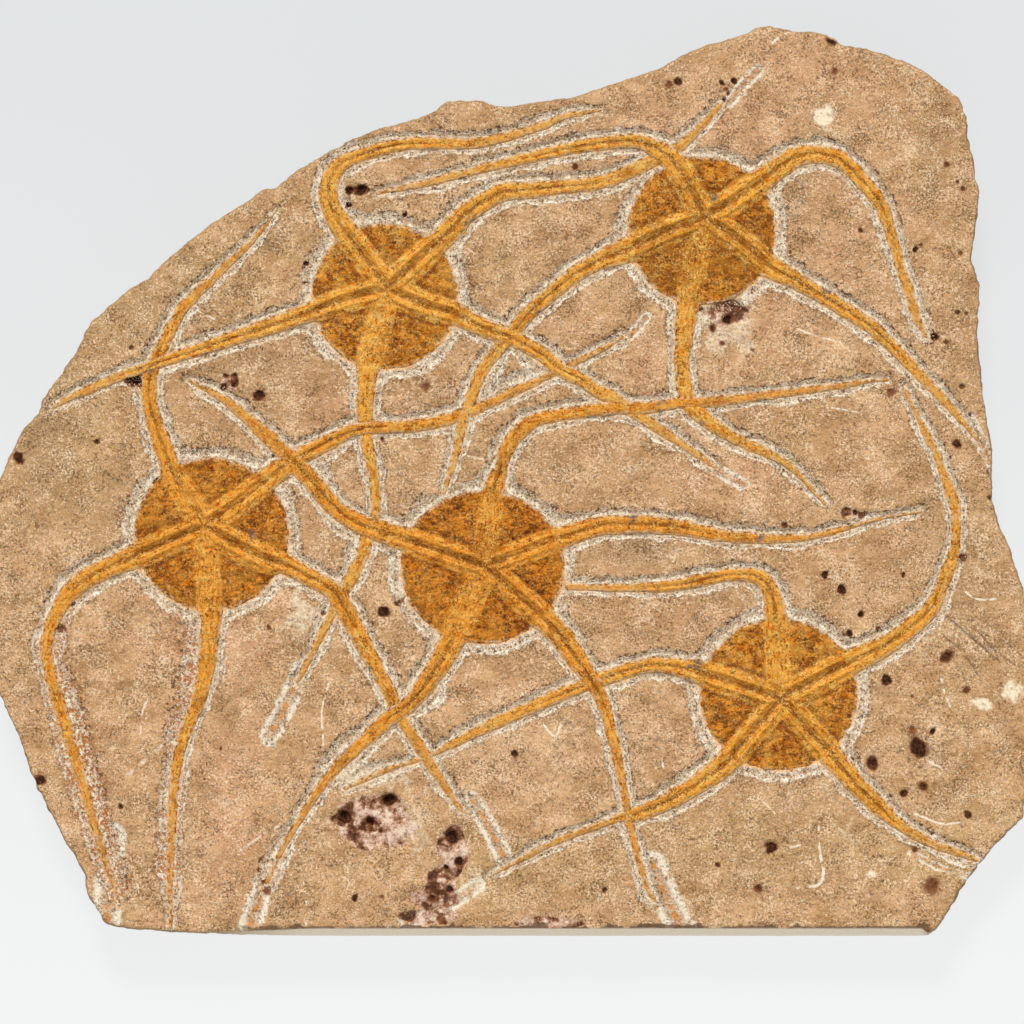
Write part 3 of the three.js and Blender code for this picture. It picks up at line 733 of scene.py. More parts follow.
DRIFT_SEEDS = (61, 62)
UNDERLAP = 0.9  # how far a lower fossil runs on under an upper one
CROSSING_DIP = 0.45  # how far it sinks there
SIDE_ROWS = (0.0, 0.035, 0.09, 0.2, 0.33, 0.46, 0.6, 0.73, 0.86, 0.95, 1.0)
SIDE_WEAR = (1.0, 0.4, 0.05, 0.0, 0.0, 0.0, 0.0, 0.0, 0.05, 0.35, 1.0)

# The section of a channel: shares of its width, from the fossil out, and of its depth.
CHANNEL_PLACES = (0.12, 0.35, 0.6, 0.85, 1.0, 1.15)
CHANNEL_SECTION = (0.5, 0.86, 0.95, 0.42, 0.08, 0.0)
CHIP_DEPTH = 0.5  # of the chips along the sawn edge

FACE_SPACING = 0.78  # of the points beside the fossils
FIELD_SPACING = 2.5  # of the points elsewhere on the face
UNDER_SPACING = 5.5  # of the points of the underside
CHANNEL_BAND = 3.7  # how far from a fossil the points are close together
EDGE_BAND = 3.2  # how far from the slab's edge the face's own points stop
RIM_ROWS = (1.7, 2.6)  # where rows of points run inside the edge


def stone_drift(spots):
    """The slow rise and fall of the whole face."""
    return 0.35 * unevenness(spots, 60.0, DRIFT_SEEDS[0]) + 0.2 * unevenness(spots, 24.0, DRIFT_SEEDS[1])


def slab_outline():
    """Corners of the slab's outline, in order, from the slab's own solid."""
    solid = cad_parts["slab"].data
    corners = np.array([vertex.co for vertex in solid.vertices]) / MM
    low = corners[(corners[:, 2] > 0.3) & (corners[:, 2] < 0.4 * FACE)]
    flat = np.unique(np.round(low[:, :2], 2), axis=0)
    return flat[np.argsort(np.arctan2(flat[:, 1], flat[:, 0]))]


def edge_gap(spots, outline):
    """Distance outside a closed outline, negative inside it."""
    nearest = np.full(len(spots), FAR)
    inside = np.zeros(len(spots), bool)
    for start, end in zip(outline, np.roll(outline, -1, axis=0)):
        side = end - start
        offset = spots - start
        part = np.clip(offset @ side / (side @ side), 0.0, 1.0)
        nearest = np.minimum(nearest, np.hypot(*(offset - part[:, None] * side).T))
        crosses = (start[1] > spots[:, 1]) != (end[1] > spots[:, 1])
        if start[1] != end[1]:
            reach = start[0] + (spots[:, 1] - start[1]) * side[0] / side[1]
            inside ^= crosses & (spots[:, 0] < reach)
    return np.where(inside, -nearest, nearest)


def upper_gap(star, view, spots, stars):
    """How far spots of a star are outside anything that lies over it."""
    gap = np.full(len(spots), FAR)
    for other in stars:
        if other is not star:
            gap = np.minimum(gap, other.level_gap(spots, 8.0, view.level))
    return gap


def star_surface(star, stars, places):
    """What a star looks like at some places, the gap to whatever covers it, and its height."""
    view = star.view(places, 6.0)
    upper = upper_gap(star, view, places, stars)
    height = star.height(places, view) + stone_drift(places)
    height -= CROSSING_DIP * smoothstep(upper, 1.3, -0.7)
    return view, upper, height


def star_rim(star, stars, outline):
    """The closed edge of a star as points and edges, and spots that fill it."""
    parts = np.vstack([route.centre for route in star.routes])
    low, high = parts.min(axis=0) - 4.0, parts.max(axis=0) + 4.0
    xs, ys, grid = square_grid(low, high, FOSSIL_SPACING)
    view = star.view(grid, 6.0)
    field = np.minimum(view.gap, 20.0)
    close = np.flatnonzero(field < 1.5)
    some = star.view(grid[close], 6.0)
    field[close] = np.maximum(field[close], -UNDERLAP - upper_gap(star, some, grid[close], stars))
    field[close] = np.maximum(field[close], edge_gap(grid[close], outline) + 1.6)
    rim, rim_edges = contour(xs, ys, field.reshape(len(xs), len(ys)))
    filling = jitter(grid[field < -0.45 * FOSSIL_SPACING], 0.08, star.number)
    return rim, rim_edges, filling, (low, high)


def weathering(places):
    """Where the fossils are worn grey, from 0 to 1."""
    wear = np.zeros(len(places))
    for x, y, reach in WEATHERED:
        worn = bump(np.hypot(places[:, 0] - x, places[:, 1] - y), 0.0, reach)
        wear = np.maximum(wear, worn)
    return wear * smoothstep(roughness(places, 2.4, 71), -0.25, 0.25)


def make_star(star, stars, outline):
    """A fossil star as one closed piece, its root hidden in the stone."""
    rim, rim_edges, filling, (low, high) = star_rim(star, stars, outline)
    places, top, renumber = triangles_inside(np.vstack([rim, filling]), rim_edges)
    base_places, base, base_renumber = triangles_inside(rim, rim_edges)

    view, _, height = star_surface(star, stars, places)
    wear = weathering(places)
    height -= 0.18 * wear
    upper_points = np.column_stack([places, FACE + height])
    base_points = np.column_stack([base_places, np.full(len(base_places), FACE - FOSSIL_ROOT)])

    first_base = len(places)
    start, end = rim_edges[:, 0], rim_edges[:, 1]
    walls = np.column_stack([renumber[start], base_renumber[start] + first_base,
                             base_renumber[end] + first_base, renumber[end]])
    faces = [*top.tolist(), *(base[:, ::-1] + first_base).tolist(), *walls.tolist()]
    points = np.vstack([upper_points, base_points])
    span = (high - low).max()
    uv = ((points[:, :2] - low) / span)[np.concatenate([np.array(face) for face in faces])]
    hidden = np.zeros(len(base_places))
    values = {
        "ridge": star.ridge(view),
        "disc": smoothstep(view.disc_gap, 0.8, -0.8) * smoothstep(view.share, 0.95, 1.3),
        "rim": smoothstep(view.gap, -1.1, -0.1),
        "foot": smoothstep(view.north, -0.1, -0.7) * (1.0 - view.inside),
        "travel": smoothstep(view.crest, ARM_CREST, TIP_CREST),
        "worn": wear,
        "tone": roughness(places, 6.0, 72 + star.number) + fossil_drift(places),
        "along": view.along,
        "side": view.side,
    }
    values = {title: np.concatenate([numbers, hidden]) for title, numbers in values.items()}
    piece = finish_piece("fossil_" + star.name, points, faces, values, uv)
    piece.data.materials.append(fossil_material(star.name, star.plan["redness"]))
    return piece


def oval_weight(spots, x, y, half_width, half_height):
    """1 at the middle of an oval patch, fading with distance from it."""
    return np.exp(-(((spots[:, 0] - x) / half_width) ** 2) - ((spots[:, 1] - y) / half_height) ** 2)


def fossil_drift(places):
    """How much lighter or darker the fossils are from place to place."""
    drift = np.zeros(len(places))
    for *oval, lightness in FOSSIL_DRIFTS:
        drift += lightness * oval_weight(places, *oval)
    return drift


def by_nearest_star(spots, stars):
    """The gap from each spot to the nearest fossil, and what is known of that fossil there."""
    gap = np.full(len(spots), FAR)
    known = [np.zeros(len(spots)) for _ in range(5)]
    for star in stars:
        view = star.view(spots, BESIDE)
        travel = smoothstep(view.crest, ARM_CREST, TIP_CREST)
        round_disc = smoothstep(view.disc_gap - view.gap, 3.0, 0.2)
        closer = view.gap < gap
        gap = np.where(closer, view.gap, gap)
        new = (star.rim_height(view), view.north, travel, view.past, round_disc)
        known = [np.where(closer, one, other) for one, other in zip(new, known)]
    return gap, known


def channel_width(spots, travel, round_disc):
    """How wide the cleared channel is, and how thickly rusty grains are strewn beside it."""
    width = CHANNEL_WIDTH * (1.0 - 0.2 * travel) + DISC_CHANNEL_EXTRA * round_disc
    width += 0.7 * unevenness(spots, 6.0, 81) + 0.5 * unevenness(spots, 1.7, 82)
    strewn = np.zeros(len(spots))
    for x, y, reach, extra in WIDE_CLEARINGS:
        wider = extra * bump(np.hypot(spots[:, 0] - x, spots[:, 1] - y), 0.0, reach)
        width += wider
        strewn += wider * (x < RUSTY_SIDE)
    return width, strewn


def carve_channels(spots, stars):
    """The height of the stone face with its channels, and the values that belong to them."""
    gap, (rim, north, travel, past, round_disc) = by_nearest_star(spots, stars)
    width, strewn = channel_width(spots, travel, round_disc)
    across = gap / width
    depth = CHANNEL_DEPTH * (1.0 + 0.2 * unevenness(spots, 5.0, 83))
    trough = np.interp(across, CHANNEL_PLACES, CHANNEL_SECTION) * depth
    collar = 0.1 - rim
    inner = np.maximum(0.5 * depth, collar)
    rising = np.clip(across / CHANNEL_PLACES[0], 0.0, 1.0)
    trough = np.where(across < CHANNEL_PLACES[0], collar + (inner - collar) * rising, trough)
    hidden = collar + (HIDDEN_DEPTH - collar) * smoothstep(gap, 0.0, -0.6)
    trough = np.where(gap < 0.0, hidden, trough)
    cleared = smoothstep(across, 1.12, 0.9)
    height = stone_drift(spots) - trough
    chisel = 0.18 * unevenness(spots, 1.0, 84) + 0.15 * unevenness(spots, 2.2, 85)
    height += chisel * cleared * smoothstep(gap, 0.0, 0.5)
    face = 0.24 * unevenness(spots, (15.0, 8.0), 86) + 0.16 * unevenness(spots, (6.5, 4.0), 87)
    face += 0.10 * unevenness(spots, (3.2, 2.2), 88)
    height += face * (1.0 - cleared)
    values = {
        "cleared": cleared * smoothstep(gap, -0.6, 0.0),
        "across": np.clip(across, -0.5, 4.0),
        "north": smoothstep(north, -0.2, 0.6),
        "past": past,
        "strewn": np.minimum(strewn / 2.0, 1.0) * smoothstep(across, 1.8, 0.9),
    }
    return height, values, cleared


def scar_relief(spots, cleared):
    """How deep the scars past the arms' tips are, and their values."""
    scar, band = np.zeros(len(spots)), np.ones(len(spots))
    for width, points in SCARS:
        look = plain_route(width, points).look(spots, width)
        scar = np.maximum(scar, smoothstep(look.distance / look.half, 1.15, 0.6))
        band = np.minimum(band, look.distance / look.half)
    scar *= (1.0 - cleared) * smoothstep(unevenness(spots, 2.4, 92), -1.0, 0.0)
    depth = scar * (0.4 + 0.35 * unevenness(spots, 1.4, 90) + 0.2 * unevenness(spots, 3.0, 91))
    return depth, dict(scar=scar, band=band)


def hole_relief(spots):
    """How deep the pits and broken hollows are, and their values."""
    depths, pit, rust = (np.zeros(len(spots)) for _ in range(3))
    for number, (x, y, size, depth, redness) in enumerate(PITS):
        index = np.flatnonzero(within(spots, (x - size, y - size), (x + size, y + size)))
        share = np.hypot(*(spots[index] - (x, y)).T) / (size / 2.0)
        share *= 1.0 + 0.35 * unevenness(spots[index], 0.6 * size, 100 + number)
        share += 0.14 * unevenness(spots[index], 0.7, 99)
        depths[index] += depth * smoothstep(share, 1.15, 0.35)
        darkness = min(1.0, 0.35 + 0.6 * depth) * (1.0 - 0.5 * redness)
        pit[index] = np.maximum(pit[index], smoothstep(share, 1.15, 0.55) * darkness)
        rust[index] = np.maximum(rust[index], smoothstep(share, 1.7, 0.8) * (0.25 + 0.75 * redness))

    hollow, shade = np.zeros(len(spots)), np.zeros(len(spots))
    for number, (x, y, half_width, half_height, depth, redness) in enumerate(HOLLOWS):
        out = ellipse_gap(spots, x, y, half_width, half_height) / min(half_width, half_height)
        out += 0.22 * unevenness(spots, 0.5 * half_height + 1.5, 230 + number)
        out += 0.1 * unevenness(spots, 1.5, 250)
        in_hollow = smoothstep(out, 0.05, -0.25)
        broken = 0.55 + 0.6 * roughness(spots, 4.0, 260 + number)
        depths += depth * in_hollow * broken
        hollow = np.maximum(hollow, in_hollow)
        shade = np.maximum(shade, in_hollow * smoothstep(broken, 0.35, 0.85))
        reddened = smoothstep(unevenness(spots, 2.0, 270), -0.4, 0.5)
        rust = np.maximum(rust, in_hollow * redness * reddened)
    return depths, dict(pit=pit, rust=rust, hollow=hollow, shade=shade)


def mark_relief(spots):
    """How deep the scratches and cracks are, and their values and those of the pale patches."""
    pale = np.zeros(len(spots))
    for x, y, half_width, half_height, strength in PALE_PATCHES:
        out = ellipse_gap(spots, x, y, half_width, half_height) / min(half_width, half_height)
        out += (1.2 - strength) * unevenness(spots, 3.0, 280) + 0.25 * unevenness(spots, 1.3, 281)
        pale = np.maximum(pale, strength * smoothstep(out, 0.2, -0.3))
    scratch, crack = np.zeros(len(spots)), np.zeros(len(spots))
    for width, strength, points in SCRATCHES:
        look = plain_route(width, points).look(spots, 3.0)
        line = smoothstep(look.distance / look.half, 1.6, 0.6) * abs(strength) ** 0.5
        line *= smoothstep(unevenness(spots, 1.8, 290), -0.75, 0.1)
        kind = scratch if strength > 0.0 else crack
        np.maximum(kind, line, out=kind)
    return 0.12 * scratch + 0.35 * crack, dict(pale=pale, scratch=scratch, crack=crack)


def face_colours(spots):
    """How much lighter and pinker the stone is from place to place."""
    light, pink = np.zeros(len(spots)), np.zeros(len(spots))
    for *oval, lightness, pinkness in STONE_DRIFTS:
        weight = oval_weight(spots, *oval)
        light += lightness * weight
        pink += pinkness * weight
    return dict(light=light, pink=pink)


def stone_relief(spots, stars):
    """The height of the stone face over its level, and the values that its finish needs."""
    height, values, cleared = carve_channels(spots, stars)
    for depth, more in (scar_relief(spots, cleared), hole_relief(spots), mark_relief(spots)):
        height -= depth
        values.update(more)
    values["chip"] = chipped_edge(spots)
    height -= CHIP_DEPTH * values["chip"]
    values.update(face_colours(spots))
    return height, values


def ring_inset(ring, outward, amount):
    """A ring drawn in by an amount, one number or one for each point."""
    return ring - outward * np.broadcast_to(amount, len(ring))[:, None]


def beside_saw(x):
    """1 along the sawn stretch of the lower side, 0 past its ends."""
    return smoothstep(x, *SAW_BEGINS) * smoothstep(x, *SAW_STOPS)


def slab_ring(outline):
    """Even points round the slab with their outward directions, and where the sawn side is."""
    closed = np.vstack([outline, outline[:1]])
    reach = np.concatenate([[0.0], np.cumsum(np.hypot(*np.diff(closed, axis=0).T))])
    count = round(reach[-1] / OUTLINE_STEP)
    arc = np.arange(count) * reach[-1] / count
    ring = np.stack([np.interp(arc, reach, closed[:, axis]) for axis in (0, 1)], axis=1)
    span = 4
    heading = np.roll(ring, -span, axis=0) - np.roll(ring, span, axis=0)
    heading /= np.hypot(*heading.T)[:, None]
    outward = np.stack([heading[:, 1], -heading[:, 0]], axis=1)
    low = ring[:, 1] < SLAB_LOW[1] + 2.5
    sawn = low * beside_saw(ring[:, 0])
    turns = np.stack([np.cos(arc / reach[-1] * math.tau), np.sin(arc / reach[-1] * math.tau)], axis=1)
    turns *= reach[-1] / math.tau
    wander = 0.5 * roughness(turns, 9.0, 301, 5) + 0.2 * unevenness(turns, 1.7, 303)
    ring = ring + outward * (wander * (1.0 - 0.85 * sawn) - 0.2)[:, None]
    return ring, outward, sawn, arc


def slab_sides(ring, outward, sawn, arc, face_heights):
    """Rows of points down the slab's side, from its face to its underside."""
    rows = []
    for share, wear in zip(SIDE_ROWS, SIDE_WEAR):
        place = np.stack([arc, np.full(len(arc), share * FACE)], axis=1)
        rough = 0.9 * unevenness(place, 8.0, 311) + 0.5 * unevenness(place, 3.0, 312)
        rough += 0.3 * unevenness(place, 1.3, 313) + 0.45 * unevenness(place, (16.0, 1.9), 314)
        rough = (0.1 - np.abs(rough)) * (1.0 - 0.93 * sawn) * (1.0 - wear)
        lean = sawn * SAW_LEAN * (1.0 - share)
        worn = RIM_WEAR * wear * (1.0 - 0.7 * sawn)
        flat = ring_inset(ring, outward, worn + lean - rough)
        low = (1.0 - share) * (FACE + face_heights)
        rows.append(np.column_stack([flat, low]))
    return rows


def channel_points(outline, stars):
    """Close points in and beside the channels, and the fossils' own outlines."""
    xs, ys, grid = square_grid(SLAB_LOW[:2] - 1.0, SLAB_HIGH[:2] + 1.0, FACE_SPACING)
    gap = np.full(len(grid), 20.0)
    for star in stars:
        gap = np.minimum(gap, star.view(grid, 7.0).gap)
    rim, _ = contour(xs, ys, gap.reshape(len(xs), len(ys)))
    edge = edge_gap(grid, outline)
    channel = (gap > -0.8) & (gap < CHANNEL_BAND) & (np.abs(gap) > 0.3)
    wide = np.zeros(len(grid), bool)
    for x, y, reach, extra in WIDE_CLEARINGS:
        beside = (gap > 0.0) & (gap < CHANNEL_BAND + extra)
        wide |= (np.hypot(*(grid - (x, y)).T) < 1.3 * reach) & beside
    return rim, jitter(grid[(channel | wide) & (edge < -EDGE_BAND)], 0.15, 401)


def mark_points():
    """Close points in the pits, hollows, scars and scratches."""
    chosen = []
    for x, y, size, _, _ in PITS:
        spacing = max(0.38, size / 8.0)
        local = jitter(fill_grid((x - size, y - size), (x + size, y + size), spacing), 0.1, 403)
        chosen.append(local[np.hypot(*(local - (x, y)).T) < 0.72 * size])
    for x, y, half_width, half_height, _, _ in HOLLOWS:
        corner = np.array([half_width, half_height]) * 1.15
        local = jitter(fill_grid((x, y) - corner, (x, y) + corner, 0.75), 0.15, 404)
        chosen.append(local[ellipse_gap(local, x, y, *corner) < 0.0])
    for width, points in SCARS:
        route = plain_route(width, points)
        low, high = route.centre.min(axis=0) - width, route.centre.max(axis=0) + width
        local = jitter(fill_grid(low, high, 0.9), 0.2, 405)
        chosen.append(local[route.look(local, width).distance < 0.62 * width])
    for width, _, points in SCRATCHES:
        route = plain_route(width, points)
        across = np.stack([-route.heading[:, 1], route.heading[:, 0]], axis=1)
        for share in (-0.9, -0.3, 0.3, 0.9):
            chosen.append(route.centre + across * share * width)
    return chosen


def face_points(ring, outward, sawn, outline, stars):
    """Points for the stone face, close together wherever something is carved or broken."""
    rim, channel = channel_points(outline, stars)
    low, high = SLAB_LOW[:2] - 1.0, SLAB_HIGH[:2] + 1.0
    field = jitter(fill_grid(low, high, FIELD_SPACING), 0.5, 402)
    spots = np.vstack([channel, field, *mark_points()])
    spots = spots[edge_gap(spots, outline) < -EDGE_BAND]
    rim = rim[edge_gap(rim, outline) < -EDGE_BAND]
    rings = [ring_inset(ring, outward, amount + SAW_LEAN * sawn) for amount in RIM_ROWS]
    spots = np.vstack([rim, *rings, spots])
    return thin_out(spots, 0.30)


def chipped_edge(spots):
    """Where the face is chipped along its sawn edge."""
    reach = 1.3 + 1.4 * unevenness(spots, (5.0, 90.0), 421) + 0.7 * unevenness(spots, (1.6, 90.0), 422)
    from_saw = spots[:, 1] - SLAB_LOW[1] - SAW_LEAN
    return beside_saw(spots[:, 0]) * smoothstep(from_saw - reach, 0.4, -0.6)


def thin_out(spots, spacing):
    """Keeps one spot, the first, in each small square."""
    cell = np.floor(spots / spacing).astype(np.int64)
    _, first = np.unique(cell[:, 0] * 100003 + cell[:, 1], return_index=True)
    return spots[np.sort(first)]


def underside(ring, ring_edges, outline):
    """The slab's underside inside a ring: its points, its faces and the ring's own numbers."""
    spots = jitter(fill_grid(SLAB_LOW[:2], SLAB_HIGH[:2], UNDER_SPACING), 0.8, 411)
    spots = spots[edge_gap(spots, outline) < -3.5]
    places, base, renumber = triangles_inside(np.vstack([ring, spots]), ring_edges)
    hollows = 0.7 * np.maximum(roughness(places, 18.0, 412), 0.0)
    hollows += 0.25 * np.maximum(unevenness(places, 5.0, 413), 0.0)
    inner = smoothstep(edge_gap(places, outline), -1.0, -7.0)
    return np.column_stack([places, hollows * inner]), base[:, ::-1], renumber[: len(ring)]


def make_slab(stars, outline):
    """The stone slab as one closed piece."""
    ring, outward, sawn, arc = slab_ring(outline)
    count = len(ring)
    around = np.arange(count)
    ring_edges = np.stack([around, np.roll(around, -1)], axis=1)
    top_ring = ring_inset(ring, outward, RIM_WEAR * (1.0 - 0.7 * sawn) + SAW_LEAN * sawn)
    spots = face_points(ring, outward, sawn, outline, stars)
    places, top, renumber = triangles_inside(np.vstack([top_ring, spots]), ring_edges)
    height, values = stone_relief(places, stars)
    top_row = renumber[:count]
    rows = slab_sides(ring, outward, sawn, arc, height[top_row])
    under, base, under_row = underside(rows[-1][:, :2], ring_edges, outline)
    points = np.vstack([np.column_stack([places, FACE + height]), *rows[1:-1], under])

    first_row, first_under = len(places), len(points) - len(under)
    middle = np.arange(first_row, first_under).reshape(-1, count)
    numbered = [top_row, *middle, first_under + under_row]
    sides = []
    for upper, lower in zip(numbered, numbered[1:]):
        sides.append(np.stack([upper, lower, np.roll(lower, -1), np.roll(upper, -1)], axis=1))
    base = base + first_under
    faces = [*top.tolist(), *np.vstack(sides).tolist(), *base.tolist()]

    rest = np.zeros(len(points) - len(places))
    values = {title: np.concatenate([numbers, rest]) for title, numbers in values.items()}
    side, on_saw = np.zeros(len(points)), np.zeros(len(points))
    side[first_row:] = 1.0
    side[top_row] = 0.6
    for row in numbered:
        on_saw[row] = sawn
    values.update(side=side, sawn=on_saw)
    piece = finish_piece("stone_slab", points, faces, values, slab_uv(points, top, sides, base, arc))
    piece.data.materials.append(stone_material())
    return piece


def slab_uv(points, top, sides, base, arc):
    """The slab's map: its face large, its sides in four strips, its underside small."""
    low = SLAB_LOW[:2] - 3.0
    scale = 0.86 / (SLAB_HIGH[0] - SLAB_LOW[0] + 6.0)
    face_map = (points[:, :2] - low) * scale
    parts = [face_map[top.ravel()]]
    strip_width, strip_length = 0.026, 0.96
    share = arc / (arc[-1] + arc[1]) * 4.0
    strip = np.floor(share + 1.0e-9).astype(int)
    begin = 0.02 + (share - strip) * strip_length
    end = 0.02 + (share - strip + share[1]) * strip_length
    across = 0.872 + strip * (strip_width + 0.004)
    for row in range(len(sides)):
        left, right = (across + SIDE_ROWS[number] * strip_width for number in (row, row + 1))
        corners = [(left, begin), (right, begin), (right, end), (left, end)]
        parts.append(np.stack([np.stack(corner, axis=1) for corner in corners], axis=1).reshape(-1, 2))
    under_map = np.array([0.02, 0.775]) + (points[:, :2] - low) * scale * 0.27
    parts.append(under_map[base.ravel()])
    return np.vstack(parts)


# ---- grains in the channels and knobs along the ridges, made with geometry nodes


class Tree:
    """A geometry node tree, with a named input for each size."""

    def __init__(self, name, **inputs):
        self.tree = bpy.data.node_groups.new(name, "GeometryNodeTree")
        face = self.tree.interface
        face.new_socket("Geometry", in_out="INPUT", socket_type="NodeSocketGeometry")
        face.new_socket("Geometry", in_out="OUTPUT", socket_type="NodeSocketGeometry")
        self.keys = {}
        for title, kind in inputs.items():
            socket = face.new_socket(title, in_out="INPUT", socket_type="NodeSocket" + kind)
            self.keys[title] = socket.identifier
        self.given = self.tree.nodes.new("NodeGroupInput")
        self.result = self.tree.nodes.new("NodeGroupOutput")

    def node(self, kind, *sources, **settings):
        """A node with its settings, and its inputs in order: an output, a plain value or None."""
        node = self.tree.nodes.new(kind)
        for setting, choice in settings.items():
            setattr(node, setting, choice)
        shown = [socket for socket in node.inputs if socket.enabled]
        for socket, source in zip(shown, sources):
            if isinstance(source, bpy.types.NodeSocket):
                self.tree.links.new(source, socket)
            elif source is not None:
                socket.default_value = source
        return node

    def random(self, low, high, seed):
        """Random vectors between two corners."""
        node = self.node("FunctionNodeRandomValue", low, high, None, seed, data_type="FLOAT_VECTOR")
        return node.outputs["Value"]

    def end(self, geometry, material):
        """Turns instances into plain faces, gives them a material, and ends the tree."""
        plain = self.node("GeometryNodeRealizeInstances", geometry)
        painted = self.node("GeometryNodeSetMaterial", plain.outputs["Geometry"], True, material)
        self.tree.links.new(painted.outputs["Geometry"], self.result.inputs["Geometry"])

    def grow(self, name, bed, **amounts):
        """Runs the tree over a mesh and keeps what grew there as a piece of its own."""
        holder = bpy.data.objects.new(name + "_bed", bed)
        bpy.context.scene.collection.objects.link(holder)
        modifier = holder.modifiers.new(name, "NODES")
        modifier.node_group = self.tree
        for title, amount in amounts.items():
            modifier[self.keys[title]] = amount
        grown = holder.evaluated_get(bpy.context.evaluated_depsgraph_get())
        mesh = bpy.data.meshes.new_from_object(grown)
        holder.modifiers.remove(modifier)
        bpy.data.objects.remove(holder)
        mesh.name = name
        lay_flat_map(mesh)
        piece = bpy.data.objects.new(name, mesh)
        bpy.context.scene.collection.objects.link(piece)
        return piece


def lay_flat_map(mesh):
    """A map of a mesh seen from above."""
    places = np.empty(3 * len(mesh.vertices), np.float32)
    mesh.vertices.foreach_get("co", places)
    places = places.reshape(-1, 3)[:, :2]
    corners = np.empty(len(mesh.loops), np.int32)
    mesh.loops.foreach_get("vertex_index", corners)
    flat = (places - places.min(axis=0)) / np.ptp(places, axis=0).max()
    layer = mesh.uv_layers.new(name="OFBake")
    layer.data.foreach_set("uv", flat[corners].ravel())


def grain_tree(material):
    """Rough grains strewn over a mesh, as thick as its value called cleared."""
    grains = Tree("strewn_grains", Density="Float", Size="Float", Seed="Int")
    given = grains.given.outputs
    named = grains.node("GeometryNodeInputNamedAttribute", "cleared", data_type="FLOAT")
    cleared = named.outputs["Attribute"]
    density = grains.node("ShaderNodeMath", given["Density"], cleared, operation="MULTIPLY")
    spread = grains.node("GeometryNodeDistributePointsOnFaces", given["Geometry"])
    grains.tree.links.new(density.outputs["Value"], spread.inputs["Density"])
    grains.tree.links.new(given["Seed"], spread.inputs["Seed"])
    ball = grains.node("GeometryNodeMeshUVSphere", 4, 2, given["Size"]).outputs["Mesh"]
    turn = grains.random((0.0, 0.0, 0.0), (math.tau, math.tau, math.tau), 3)
    size = grains.random((0.35, 0.35, 0.25), (0.75, 0.6, 0.45), 4)
    placed = grains.node("GeometryNodeInstanceOnPoints", spread.outputs["Points"], True, ball)
    grains.tree.links.new(turn, placed.inputs["Rotation"])
    grains.tree.links.new(size, placed.inputs["Scale"])
    grains.end(placed.outputs["Instances"], material)
    return grains


def knob_tree(material):
    """A row of small knobs along each line of a mesh."""
    knobs = Tree("crest_knobs", Spacing="Float", Width="Float")
    given = knobs.given.outputs
    line = knobs.node("GeometryNodeMeshToCurve", given["Geometry"]).outputs["Curve"]
    beads = knobs.node("GeometryNodeCurveToPoints", line, mode="LENGTH")
    knobs.tree.links.new(given["Spacing"], beads.inputs["Length"])
    ball = knobs.node("GeometryNodeMeshIcoSphere", given["Width"], 1).outputs["Mesh"]
    size = knobs.random((0.3, 0.3, 0.35), (0.6, 0.6, 1.0), 5)
    placed = knobs.node("GeometryNodeInstanceOnPoints", beads.outputs["Points"], True, ball)
    knobs.tree.links.new(beads.outputs["Rotation"], placed.inputs["Rotation"])
    knobs.tree.links.new(size, placed.inputs["Scale"])
    knobs.end(placed.outputs["Instances"], material)
    return knobs


def make_grains(name, slab, dark, light, per_square_mm, seed):
    """Grains of one kind in all the slab's channels, between two colours."""
    tree = grain_tree(grain_material(name, dark, light))
    density = per_square_mm / MM**2
    return tree.grow(name, slab.data.copy(), Density=density, Size=GRAIN_SIZE * MM, Seed=seed)


def crest_lines(star, stars, outline):
    """A mesh of the lines of the twin ridges along a star's arms, where they show."""
    points, edges = [], []
    for number, route in enumerate(star.routes):
        across = np.stack([-route.heading[:, 1], route.heading[:, 0]], axis=1)
        for side in (-1.0, 1.0):
            line = route.centre + across * (side * RIDGE_PLACE * route.half)[:, None]
            view, upper, height = star_surface(star, stars, line)
            clear = np.maximum(view.fade, view.inside * star.plan["ridges"][number])
            shows = (clear > 0.4) & (upper > 0.5) & (view.arm == number)
            shows &= edge_gap(line, outline) < -2.5
            first = sum(len(part) for part in points)
            points.append(np.column_stack([line, FACE + height - KNOB_SINK]))
            along = np.flatnonzero(shows[:-1] & shows[1:])
            edges.append(first + np.stack([along, along + 1], axis=1))
    mesh = bpy.data.meshes.new("crest_lines")
    mesh.from_pydata((np.vstack(points) * MM).tolist(), np.vstack(edges).tolist(), [])
    return mesh


def make_knobs(star, stars, outline):
    """Small knobs along the ridges of one star."""
    name = "crests_" + star.name
    tree = knob_tree(crest_material(name, star.plan["redness"]))
    lines = crest_lines(star, stars, outline)
    return tree.grow(name, lines, Spacing=KNOB_SPACING * MM, Width=KNOB_WIDTH * MM)


# ---- materials


def srgb(red, green, blue):
    """A colour given as a screen shows it, 0 to 255, in the linear values that a shader takes."""
    screen = np.array([red, green, blue]) / 255.0
    linear = np.where(screen < 0.04045, screen / 12.92, ((screen + 0.055) / 1.055) ** 2.4)
    return (*linear.tolist(), 1.0)


